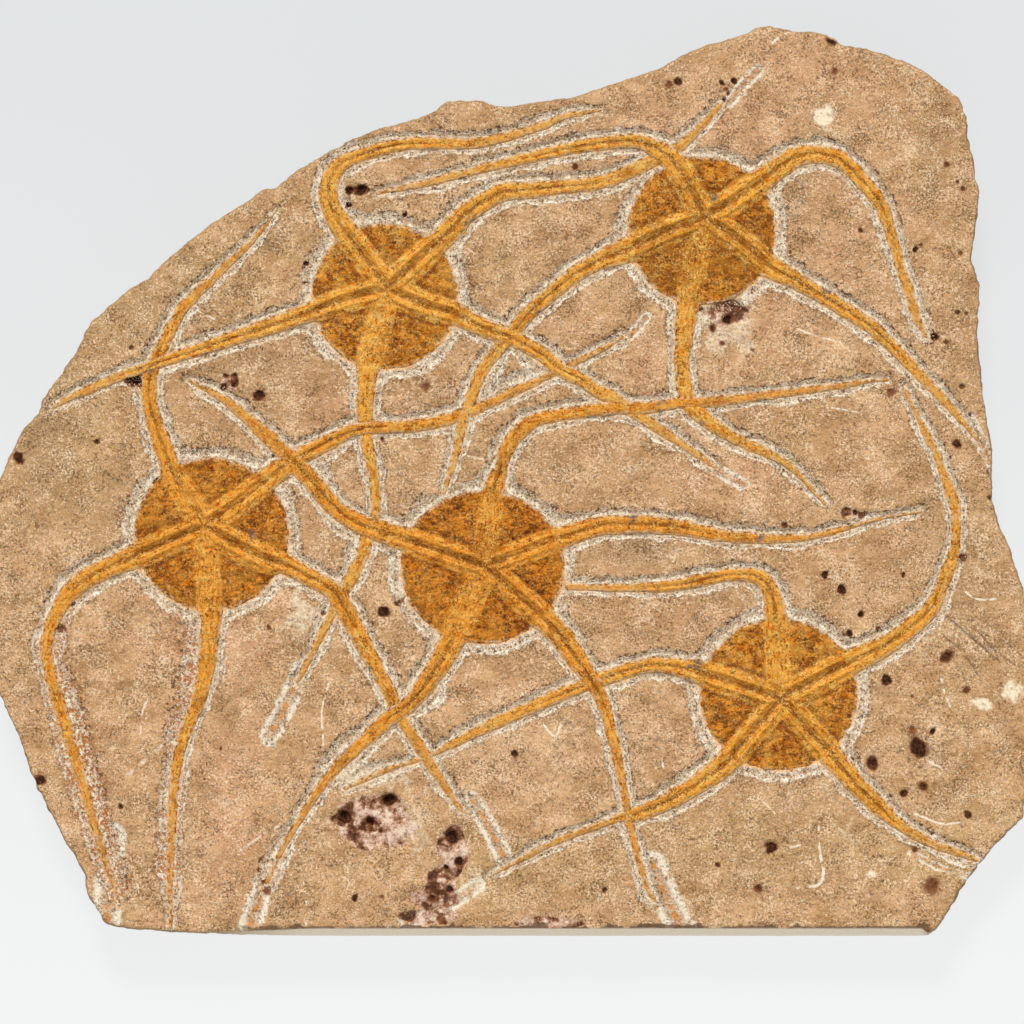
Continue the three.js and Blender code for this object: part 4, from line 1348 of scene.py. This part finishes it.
class Finish:
    """A material's nodes, added one by one. Colours are given as a screen shows them."""

    def __init__(self, name):
        self.material = bpy.data.materials.new(name)
        self.material.use_nodes = True
        self.tree = self.material.node_tree
        self.shader = self.tree.nodes["Principled BSDF"]
        place = self.tree.nodes.new("ShaderNodeTexCoord")
        to_mm = self.tree.nodes.new("ShaderNodeMapping")
        to_mm.inputs["Scale"].default_value = (1.0 / MM,) * 3
        self.tree.links.new(place.outputs["Object"], to_mm.inputs["Vector"])
        self.place = to_mm.outputs["Vector"]

    def stretched(self, x, y, z=1.0):
        """The place with its axes squeezed, so that a pattern on it is drawn out."""
        mapping = self.tree.nodes.new("ShaderNodeMapping")
        mapping.inputs["Scale"].default_value = (x, y, z)
        self.tree.links.new(self.place, mapping.inputs["Vector"])
        return mapping.outputs["Vector"]

    def along_arm(self, along, across):
        """The place measured along an arm and across it, each squeezed by a factor."""
        join = self.tree.nodes.new("ShaderNodeCombineXYZ")
        self.feed(join.inputs[0], self.times(self.value("along"), along))
        self.feed(join.inputs[1], self.times(self.value("side"), across))
        return join.outputs["Vector"]

    def value(self, title):
        """A value stored at the mesh's points."""
        node = self.tree.nodes.new("ShaderNodeAttribute")
        node.attribute_name = title
        return node.outputs["Fac"]

    def noise(self, size, detail, rough, place=None, shift=0.0):
        """Noise from 0 to 1 with lumps of about a size in millimetres."""
        node = self.tree.nodes.new("ShaderNodeTexNoise")
        source = self.place if place is None else place
        if shift:
            moved = self.tree.nodes.new("ShaderNodeVectorMath")
            moved.operation = "ADD"
            moved.inputs[1].default_value = (shift, -0.7 * shift, 0.3 * shift)
            self.tree.links.new(source, moved.inputs[0])
            source = moved.outputs["Vector"]
        self.tree.links.new(source, node.inputs["Vector"])
        node.inputs["Scale"].default_value = 1.0 / size
        node.inputs["Detail"].default_value = detail
        node.inputs["Roughness"].default_value = rough
        return node.outputs["Fac"]

    def grains(self, size, level, share, gather, shift, place=None):
        """Scattered grains of a size, as a share of colour, thicker in patches of size gather."""
        fine = self.noise(size, 3.0, 0.72, place, shift)
        patches = self.centred(self.noise(gather, 3.0, 0.6, place, shift + 100.0))
        return self.window(self.plus(fine, patches, 0.4), level, level + 0.1, 0.0, share)

    def strewn(self, colour, *layers):
        """A colour with layers of grains over it, each what grains() takes and a colour."""
        for sizes, tint in layers:
            colour = self.mix(self.grains(*sizes), colour, tint)
        return colour

    def feed(self, socket, source):
        """Links a node's output to a socket, or sets the socket to a number or colour."""
        if isinstance(source, bpy.types.NodeSocket):
            self.tree.links.new(source, socket)
        elif isinstance(source, tuple):
            socket.default_value = srgb(*source)
        else:
            socket.default_value = source

    def sum(self, operation, first, second):
        """One step of arithmetic."""
        node = self.tree.nodes.new("ShaderNodeMath")
        node.operation = operation
        self.feed(node.inputs[0], first)
        self.feed(node.inputs[1], second)
        return node.outputs[0]

    def times(self, first, second):
        """The product of two values."""
        return self.sum("MULTIPLY", first, second)

    def plus(self, first, second, share=1.0):
        """A value with a share of a second one added."""
        if share != 1.0:
            second = self.times(second, share)
        return self.sum("ADD", first, second)

    def centred(self, source):
        """A noise moved to lie about 0."""
        return self.sum("SUBTRACT", source, 0.5)

    def window(self, source, start, end, low=0.0, high=1.0):
        """Source carried from start..end to low..high, eased and held at both ends."""
        node = self.tree.nodes.new("ShaderNodeMapRange")
        node.interpolation_type = "SMOOTHSTEP"
        self.feed(node.inputs["Value"], source)
        for socket, limit in zip(("From Min", "From Max", "To Min", "To Max"), (start, end, low, high)):
            node.inputs[socket].default_value = limit
        return node.outputs["Result"]

    def mix(self, share, first, second):
        """Two colours mixed by a share."""
        node = self.tree.nodes.new("ShaderNodeMix")
        node.data_type = "RGBA"
        self.feed(node.inputs[0], share)
        self.feed(node.inputs[6], first)
        self.feed(node.inputs[7], second)
        return node.outputs[2]

    def ramp(self, source, *stops):
        """Colours along a value."""
        node = self.tree.nodes.new("ShaderNodeValToRGB")
        self.feed(node.inputs["Fac"], source)
        while len(node.color_ramp.elements) < len(stops):
            node.color_ramp.elements.new(1.0)
        for element, (place, colour) in zip(node.color_ramp.elements, stops):
            element.position = place
            element.color = srgb(*colour)
        return node.outputs["Color"]

    def relief(self, *heights):
        """Bump from pairs of a height and its size in millimetres."""
        normal = None
        for height, size in heights:
            node = self.tree.nodes.new("ShaderNodeBump")
            node.inputs["Strength"].default_value = 1.0
            node.inputs["Distance"].default_value = size * MM
            self.feed(node.inputs["Height"], height)
            if normal is not None:
                self.tree.links.new(normal, node.inputs["Normal"])
            normal = node.outputs["Normal"]
        self.tree.links.new(normal, self.shader.inputs["Normal"])

    def close(self, colour, rough):
        """Joins the colour and the roughness to the shader."""
        self.feed(self.shader.inputs["Base Color"], colour)
        self.feed(self.shader.inputs["Roughness"], rough)
        self.shader.inputs["Specular IOR Level"].default_value = DULLNESS
        return self.material


def weathered_rock(stone, dark_grains):
    """The face of the slab: tan sandstone, its colour drifting from place to place."""
    drawn = stone.stretched(0.75, 1.15)
    cloud = stone.noise(9.0, 5.0, 0.65, drawn)
    tan = stone.ramp(cloud, (0.3, (184, 140, 90)), (0.5, (210, 166, 118)), (0.7, (234, 193, 147)))
    patches = stone.plus(stone.times(stone.noise(26.0, 3.0, 0.55, shift=40.0), 1.6), -0.8)
    pinkness = stone.plus(stone.value("pink"), patches)
    tan = stone.mix(stone.window(pinkness, 0.0, 0.9, 0.0, 0.7), tan, (232, 178, 138))
    tan = stone.mix(stone.window(pinkness, 0.0, -0.9, 0.0, 0.7), tan, (212, 174, 118))
    lightness = stone.value("light")
    tan = stone.mix(stone.window(lightness, 0.0, -0.8, 0.0, 0.75), tan, (176, 140, 100))
    tan = stone.mix(stone.window(lightness, 0.0, 0.8, 0.0, 0.6), tan, (248, 212, 170))
    tan = stone.strewn(
        tan,
        ((2.0, 0.53, 0.42, 14.0, 12.0, drawn), (156, 120, 78)),
        ((1.8, 0.54, 0.34, 11.0, 16.0, drawn), (250, 214, 170)),
    )
    tan = stone.mix(dark_grains, tan, (106, 72, 40))
    return stone.strewn(
        tan,
        ((0.7, 0.53, 0.75, 7.0, 8.0), (255, 230, 196)),
        ((0.9, 0.6, 0.6, 7.0, 27.0), (124, 120, 112)),
        ((1.1, 0.62, 0.6, 9.0, 31.0), (196, 124, 66)),
    )


def channel_lips(stone, across, north, powder):
    """How bright the stone is, in a line by the fossil and in one along the channel's edge; the outer
    line is partly pale scraped stone and partly painted highlight.
    """
    outer = stone.times(stone.window(across, 0.62, 0.84), stone.window(across, 1.12, 0.98))
    outer = stone.times(outer, stone.window(stone.value("past"), 0.6, 0.0))
    # painted highlight: the outer line is stronger on the south side, where the channel's wall faces the
    # key light
    outer = stone.times(outer, stone.window(north, 0.3, 0.9, 0.85, 0.3))
    lips = stone.sum("MAXIMUM", outer, stone.window(across, 0.5, 0.16))
    lips = stone.times(lips, stone.window(powder, 0.36, 0.47, 0.3, 1.0))
    whole = stone.window(stone.noise(5.0, 3.0, 0.6, shift=91.0), 0.36, 0.52, 0.5, 1.0)
    return stone.times(lips, whole)


def scraped_rock(stone, across, north, powder, rusty_grains):
    """The floor of the channels: cream stone, powdered and speckled."""
    cream = stone.ramp(powder, (0.36, (98, 60, 30)), (0.45, (190, 156, 116)), (0.57, (240, 222, 196)))
    # painted shade: the channel's outer wall on the north side, which faces away from the key light, is
    # tinted brown
    wall = stone.times(stone.window(across, 0.7, 0.92), north)
    cream = stone.mix(stone.times(wall, 0.35), cream, (150, 104, 66))
    cream = stone.mix(channel_lips(stone, across, north, powder), cream, (255, 247, 230))
    cream = stone.strewn(
        cream,
        ((1.1, 0.54, 0.85, 3.0, 33.0), (84, 50, 24)),
        ((0.8, 0.54, 0.8, 4.0, 36.0), (255, 250, 234)),
    )
    cream = stone.mix(rusty_grains, cream, (196, 116, 40))
    crumbling = stone.window(stone.noise(3.0, 3.0, 0.65, shift=93.0), 0.52, 0.6, 0.0, 0.5)
    cream = stone.mix(crumbling, cream, (186, 144, 98))
    # ochre stain beside the fossil, stronger on the south side, where it is also painted light that
    # lifts the shaded foot of the fossil
    stain_and_painted_light = stone.times(stone.window(across, 0.24, 0.04), stone.window(north, 0.7, 0.2, 0.3, 0.85))
    return stone.mix(stain_and_painted_light, cream, (246, 184, 104))


def add_scars(stone, colour, cream, ragged):
    """The worn bands past the arms' tips: two pale lips with a trace of ochre between them."""
    band = stone.plus(stone.value("band"), ragged, 0.35)
    scraped = stone.mix(stone.window(band, 0.35, 0.6, 0.2, 0.9), cream, (255, 246, 226))
    trace = stone.window(stone.noise(2.4, 3.0, 0.65, shift=97.0), 0.44, 0.54, 0.2, 0.9)
    scraped = stone.mix(stone.times(stone.window(band, 0.36, 0.12), trace), scraped, (226, 152, 70))
    scraped = stone.strewn(scraped, ((0.9, 0.53, 0.85, 3.0, 55.0), (128, 90, 58)))
    scar = stone.window(stone.plus(stone.value("scar"), ragged), 0.1, 0.65, 0.0, 0.9)
    return stone.mix(scar, colour, scraped)


def add_marks(stone, colour, ragged):
    """Pale patches, scratches, broken hollows and rust."""
    pale = stone.window(stone.plus(stone.value("pale"), ragged, 0.5), 0.15, 0.6)
    dusty = stone.strewn((255, 240, 212), ((1.1, 0.55, 0.6, 4.0, 39.0), (166, 134, 100)))
    colour = stone.mix(pale, colour, dusty)
    scratch = stone.plus(stone.value("scratch"), ragged, 0.7)
    colour = stone.mix(stone.window(scratch, 0.35, 0.85, 0.0, 0.85), colour, (255, 244, 224))
    hole = stone.plus(stone.noise(2.6, 6.0, 0.85, shift=58.0), stone.value("shade"), -0.2)
    hollow = stone.ramp(
        hole,
        (0.27, (58, 26, 12)),
        (0.35, (112, 62, 36)),
        (0.42, (178, 130, 98)),
        (0.48, (226, 190, 164)),
        (0.6, (252, 234, 216)),
    )
    hollow = stone.strewn(hollow, ((0.85, 0.55, 0.6, 3.0, 66.0), (110, 74, 56)))
    in_hollow = stone.window(stone.plus(stone.value("hollow"), ragged), 0.3, 0.7, 0.0, 0.95)
    colour = stone.mix(in_hollow, colour, hollow)
    rust = stone.window(stone.plus(stone.value("rust"), ragged, 0.6), 0.2, 1.0, 0.0, 0.85)
    return stone.mix(rust, colour, (128, 68, 40))


def add_shadows(stone, colour, across, north, ragged):
    """Dark specks and painted shade in a broken line along the channels' outer edges, strongest on the
    north side, and the dark cracks, pits and chipped edge.
    """
    blotches = stone.window(stone.noise(1.5, 3.0, 0.68, shift=44.0), 0.5, 0.59)
    # painted shade: a broken dark line on the channel's outer wall, partly dark specks, strongest on the
    # north side where the wall faces away from the key light
    verge = stone.times(stone.window(across, 0.84, 1.0), stone.window(across, 1.5, 1.2))
    soot_and_painted_shade = stone.times(verge, stone.window(north, 0.0, 1.0, 0.6, 1.0))
    soot_and_painted_shade = stone.times(soot_and_painted_shade, blotches)
    colour = stone.mix(stone.times(soot_and_painted_shade, 0.9), colour, (78, 50, 34))
    colour = stone.mix(stone.times(stone.value("crack"), 0.6), colour, (96, 74, 58))
    pit = stone.plus(stone.value("pit"), ragged, 0.35)
    colour = stone.mix(stone.window(pit, 0.15, 0.5, 0.0, 0.85), colour, (140, 86, 50))
    bottom = stone.window(stone.noise(1.1, 3.0, 0.7, shift=49.0), 0.46, 0.62)
    depths = stone.mix(bottom, (46, 20, 12), (104, 62, 38))
    colour = stone.mix(stone.window(pit, 0.46, 0.78, 0.0, 0.95), colour, depths)
    chip = stone.plus(stone.value("chip"), ragged, 0.6)
    return stone.mix(stone.window(chip, 0.3, 0.7, 0.0, 0.85), colour, (112, 84, 60))


def add_sides(stone, colour, powder, dark_grains):
    """The layered, broken sides and the pale sawn one, whose near-white colour is partly painted light
    on a face turned away from the key light.
    """
    layers = stone.noise(2.6, 4.0, 0.65, stone.stretched(0.35, 0.35, 1.8), shift=50.0)
    broken = stone.ramp(layers, (0.3, (124, 98, 72)), (0.5, (170, 138, 102)), (0.7, (208, 178, 140)))
    broken = stone.mix(dark_grains, broken, (104, 84, 66))
    rusty = stone.window(stone.noise(7.0, 3.0, 0.6, shift=61.0), 0.58, 0.72, 0.0, 0.55)
    broken = stone.mix(rusty, broken, (156, 94, 54))
    side = stone.value("side")
    colour = stone.mix(stone.window(side, 0.35, 0.95, 0.0, 0.85), colour, broken)
    # pale sawn stone, painted lighter than its own colour as painted light for a face turned away from
    # the key light
    cut = stone.mix(stone.window(powder, 0.35, 0.65), (252, 232, 200), (255, 250, 234))
    on_saw = stone.times(stone.value("sawn"), stone.window(side, 0.3, 0.9))
    return stone.mix(on_saw, colour, cut)


def stone_material():
    """Fine tan sandstone: speckled on the face, cream where it was scraped, greyer where broken."""
    stone = Finish("sandy_stone")
    dark_grains = stone.grains(0.75, 0.525, 0.8, 9.0, 3.0)
    tan = weathered_rock(stone, dark_grains)

    powder = stone.noise(0.9, 4.0, 0.75, shift=21.0)
    ragged = stone.times(stone.centred(stone.noise(1.4, 4.0, 0.75, shift=5.0)), 1.7)
    nibbles = stone.centred(stone.noise(0.9, 2.0, 0.7, shift=6.0))
    across = stone.plus(stone.plus(stone.value("across"), ragged, 0.42), nibbles, 0.7)
    north = stone.value("north")
    rusty_grains = stone.times(stone.value("strewn"), stone.grains(1.1, 0.48, 0.95, 3.0, 47.0))
    cream = scraped_rock(stone, across, north, powder, rusty_grains)
    cleared = stone.window(stone.plus(across, stone.value("past"), 0.35), 1.16, 0.92)
    colour = stone.mix(cleared, tan, cream)
    colour = stone.mix(stone.times(rusty_grains, 0.8), colour, (190, 118, 54))
    colour = add_scars(stone, colour, cream, ragged)
    colour = add_marks(stone, colour, ragged)
    colour = add_shadows(stone, colour, across, north, ragged)
    colour = add_sides(stone, colour, powder, dark_grains)

    fine = stone.noise(0.6, 3.0, 0.75, shift=70.0)
    lumps = stone.noise(1.7, 3.0, 0.65, shift=75.0)
    stone.relief((lumps, 0.9), (fine, 0.42))
    stone.shader.inputs["Diffuse Roughness"].default_value = 0.6
    return stone.close(colour, stone.window(powder, 0.3, 0.7, 0.82, 0.95))


def disc_colour(fossil, grain, tone):
    """The grained field of a disc."""
    body = fossil.ramp(
        grain,
        (0.39, tone((96, 36, 0), (88, 30, 0))),
        (0.5, tone((228, 134, 24), (218, 122, 18))),
        (0.62, tone((250, 180, 62), (246, 164, 50))),
    )
    drawn = fossil.stretched(0.6, 1.2)
    body = fossil.strewn(
        body,
        ((1.7, 0.52, 0.75, 6.0, 18.0, drawn), tone((106, 46, 4), (92, 36, 2))),
        ((1.5, 0.55, 0.45, 6.0, 22.0, drawn), tone((252, 192, 84), (250, 178, 70))),
    )
    shadowy = fossil.window(fossil.noise(5.0, 4.0, 0.6, shift=19.0), 0.5, 0.64, 0.0, 0.25)
    return fossil.mix(shadowy, body, tone((142, 76, 8), (124, 60, 4)))


def add_rim(fossil, colour, tone):
    """The edge of a fossil: duller, with pale dust and brown grime, and lit at its foot."""
    powder = fossil.noise(1.5, 4.0, 0.75, shift=15.0)
    rim = fossil.value("rim")
    colour = fossil.mix(fossil.times(rim, 0.4), colour, tone((206, 128, 44), (190, 108, 30)))
    dust = fossil.times(rim, fossil.window(powder, 0.47, 0.55, 0.0, 0.9))
    colour = fossil.mix(dust, colour, (250, 230, 194))
    grime = fossil.times(rim, fossil.window(powder, 0.47, 0.39, 0.0, 0.85))
    colour = fossil.mix(grime, colour, (100, 60, 28))
    foot = fossil.times(fossil.value("foot"), fossil.window(rim, 0.6, 1.0))
    return fossil.mix(fossil.times(foot, 0.65), colour, (255, 206, 128))


def fossil_material(name, redness):
    """Ochre fossil: bright on the ridges and brown in the furrows, partly its own colour and partly
    painted highlight and shade, grained on the disc.
    """
    fossil = Finish("ochre_fossil_" + name)

    def tone(yellow, red):
        return tuple(a + (b - a) * redness for a, b in zip(yellow, red))

    grain = fossil.noise(2.2, 5.0, 0.8)
    in_disc = fossil.value("disc")
    strand = fossil.noise(1.0, 4.0, 0.7, fossil.along_arm(0.3, 1.0))
    arm = fossil.ramp(
        strand,
        (0.34, tone((194, 84, 4), (186, 76, 2))),
        (0.47, tone((255, 166, 42), (250, 156, 34))),
        (0.6, tone((255, 212, 110), (255, 200, 96))),
    )
    colour = fossil.mix(in_disc, arm, disc_colour(fossil, grain, tone))
    # painted highlight and shade: crests are painted brighter, furrows and the ground beside a disc's
    # ridges darker, partly the ochre's own colour
    ridge = fossil.plus(fossil.value("ridge"), fossil.centred(strand), 1.2)
    crest = fossil.window(ridge, 0.1, 0.7, 0.0, 0.5)
    colour = fossil.mix(crest, colour, tone((255, 180, 50), (255, 168, 42)))
    furrow = fossil.times(fossil.window(ridge, -0.2, -0.7), fossil.window(in_disc, 0.0, 1.0, 0.62, 0.72))
    colour = fossil.mix(furrow, colour, tone((144, 64, 8), (120, 48, 4)))
    drift = fossil.value("tone")
    lighter = fossil.window(drift, 0.0, 0.5, 0.0, 0.45)
    colour = fossil.mix(lighter, colour, tone((248, 186, 84), (232, 156, 54)))
    darker = fossil.window(drift, 0.0, -0.5, 0.0, 0.45)
    colour = fossil.mix(darker, colour, tone((174, 106, 26), (154, 86, 16)))
    colour = fossil.strewn(colour, ((0.8, 0.54, 0.85, 4.0, 9.0), tone((118, 60, 30), (104, 50, 24))))
    fewer_in_disc = fossil.window(in_disc, 0.0, 1.0, 1.0, 0.6)
    glints = fossil.times(fossil.grains(0.75, 0.53, 0.85, 4.0, 13.0), fewer_in_disc)
    colour = fossil.mix(glints, colour, tone((255, 222, 136), (255, 206, 112)))
    colour = fossil.strewn(colour, ((0.9, 0.62, 0.7, 6.0, 25.0), (140, 116, 100)))
    pale_tip = fossil.window(fossil.value("travel"), 0.6, 1.0, 0.0, 0.3)
    colour = fossil.mix(pale_tip, colour, (240, 184, 104))
    colour = add_rim(fossil, colour, tone)
    mottling = fossil.window(fossil.noise(1.0, 3.0, 0.7, shift=28.0), 0.42, 0.58)
    grey = fossil.mix(mottling, (104, 84, 78), (168, 142, 120))
    colour = fossil.mix(fossil.window(fossil.value("worn"), 0.2, 0.7, 0.0, 0.85), colour, grey)
    fine = fossil.noise(0.7, 3.0, 0.75, shift=30.0)
    fossil.relief((grain, 1.5), (fine, 0.42))
    fossil.shader.inputs["Diffuse Roughness"].default_value = 0.4
    return fossil.close(colour, fossil.window(grain, 0.3, 0.7, 0.62, 0.85))


def grain_material(name, dark, light):
    """Loose grains, each a little different."""
    grains = Finish(name)
    shade = grains.noise(0.9, 2.0, 0.6, shift=12.0)
    colour = grains.ramp(shade, (0.35, dark), (0.6, light))
    grains.relief((grains.noise(0.3, 2.0, 0.6), 0.2))
    return grains.close(colour, grains.window(shade, 0.3, 0.7, 0.75, 0.95))


def crest_material(name, redness):
    """Knobs on the ridges: a brighter ochre than the arms."""
    low, high = (226 - 12 * redness, 134 - 18 * redness, 22), (255, 202 - 14 * redness, 86)
    knobs = Finish(name)
    shade = knobs.noise(1.1, 3.0, 0.7, shift=17.0)
    colour = knobs.mix(knobs.window(shade, 0.36, 0.62), low, high)
    colour = knobs.strewn(colour, ((0.8, 0.56, 0.6, 4.0, 29.0), (142, 84, 26)))
    knobs.relief((shade, 0.3))
    return knobs.close(colour, knobs.window(shade, 0.3, 0.7, 0.65, 0.85))


def floor_material():
    """A pale studio floor with its own glow, so that shadows on it stay faint."""
    floor = Finish("studio_floor")
    split = floor.tree.nodes.new("ShaderNodeSeparateXYZ")
    floor.tree.links.new(floor.place, split.inputs["Vector"])
    nearness = floor.window(split.outputs["Y"], 190.0, -210.0)
    glow = floor.mix(nearness, (221, 223, 224), (238, 239, 239))
    floor.feed(floor.shader.inputs["Emission Color"], glow)
    floor.shader.inputs["Emission Strength"].default_value = 0.95
    cloudy = floor.window(floor.noise(400.0, 1.0, 0.4), 0.3, 0.7)
    plain = floor.mix(cloudy, (70, 71, 72), (74, 75, 76))
    return floor.close(plain, 0.9)


# ---- the studio


def place_camera():
    """A long lens straight above the face, so that the slab's sides hardly show."""
    lens = bpy.data.cameras.new("long_lens")
    lens.lens = lens.sensor_width * VIEW_DISTANCE / VIEW_WIDTH
    lens.clip_end = 3.0 * VIEW_DISTANCE * MM
    camera = bpy.data.objects.new("long_lens", lens)
    camera.location = Vector((*VIEW_MIDDLE, FACE + VIEW_DISTANCE)) * MM
    bpy.context.scene.collection.objects.link(camera)
    bpy.context.scene.camera = camera


def place_sun(name, energy, colour, softness, towards):
    """A wide, far light that shines from a direction; softness is its width in degrees."""
    light = bpy.data.lights.new(name, "SUN")
    light.energy = energy
    light.color = colour
    light.angle = math.radians(softness)
    lamp = bpy.data.objects.new(name, light)
    lamp.rotation_euler = Vector(towards).to_track_quat("Z", "Y").to_euler()
    bpy.context.scene.collection.objects.link(lamp)


def place_lights():
    """A soft key light over the far edge, a weak fill from the near side, and a white room."""
    place_sun("key", 2.95, (1.0, 0.985, 0.96), 16.0, (-0.16, 1.0, 1.0))
    place_sun("fill", 0.9, (1.0, 0.97, 0.93), 60.0, (0.25, -1.0, 0.22))
    world = bpy.data.worlds.new("white_room")
    bpy.context.scene.world = world
    world.use_nodes = True
    room = world.node_tree.nodes["Background"].inputs
    room["Color"].default_value = (0.97, 0.97, 0.96, 1.0)
    room["Strength"].default_value = 0.42
    bpy.context.scene.view_settings.view_transform = "Standard"


def place_floor():
    """The floor that the slab lies on."""
    mesh = bpy.data.meshes.new("studio_floor")
    reach = FLOOR_REACH * MM
    corners = [(-reach, -reach, 0.0), (reach, -reach, 0.0), (reach, reach, 0.0), (-reach, reach, 0.0)]
    mesh.from_pydata(corners, [], [(0, 1, 2, 3)])
    floor = bpy.data.objects.new("studio_floor", mesh)
    floor.location.z = (SLAB_LOW[2] - FLOOR_GAP) * MM
    bpy.context.scene.collection.objects.link(floor)
    mesh.materials.append(floor_material())




# ---- making it all

place_camera()
place_lights()
place_floor()
OUTLINE = slab_outline()
GRAINS = [
    ("light_grains", (216, 186, 148), (250, 234, 206), LIGHT_GRAINS, 7),
    ("dark_grains", (78, 52, 34), (134, 98, 66), DARK_GRAINS, 8),
]
ALL_STARS = [Star(plan, number) for number, plan in enumerate(STARS)]

slab = make_slab(ALL_STARS, OUTLINE)
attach(slab, "root")
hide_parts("slab")

for grain_name, dark, light, amount, seed in GRAINS:
    grains = make_grains(grain_name, slab, dark, light, amount, seed)
    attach(grains, "root")

for one_star in ALL_STARS:
    fossil = make_star(one_star, ALL_STARS, OUTLINE)
    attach(fossil, "root")
    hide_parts(one_star.name)
    knobs = make_knobs(one_star, ALL_STARS, OUTLINE)
    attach(knobs, "root")
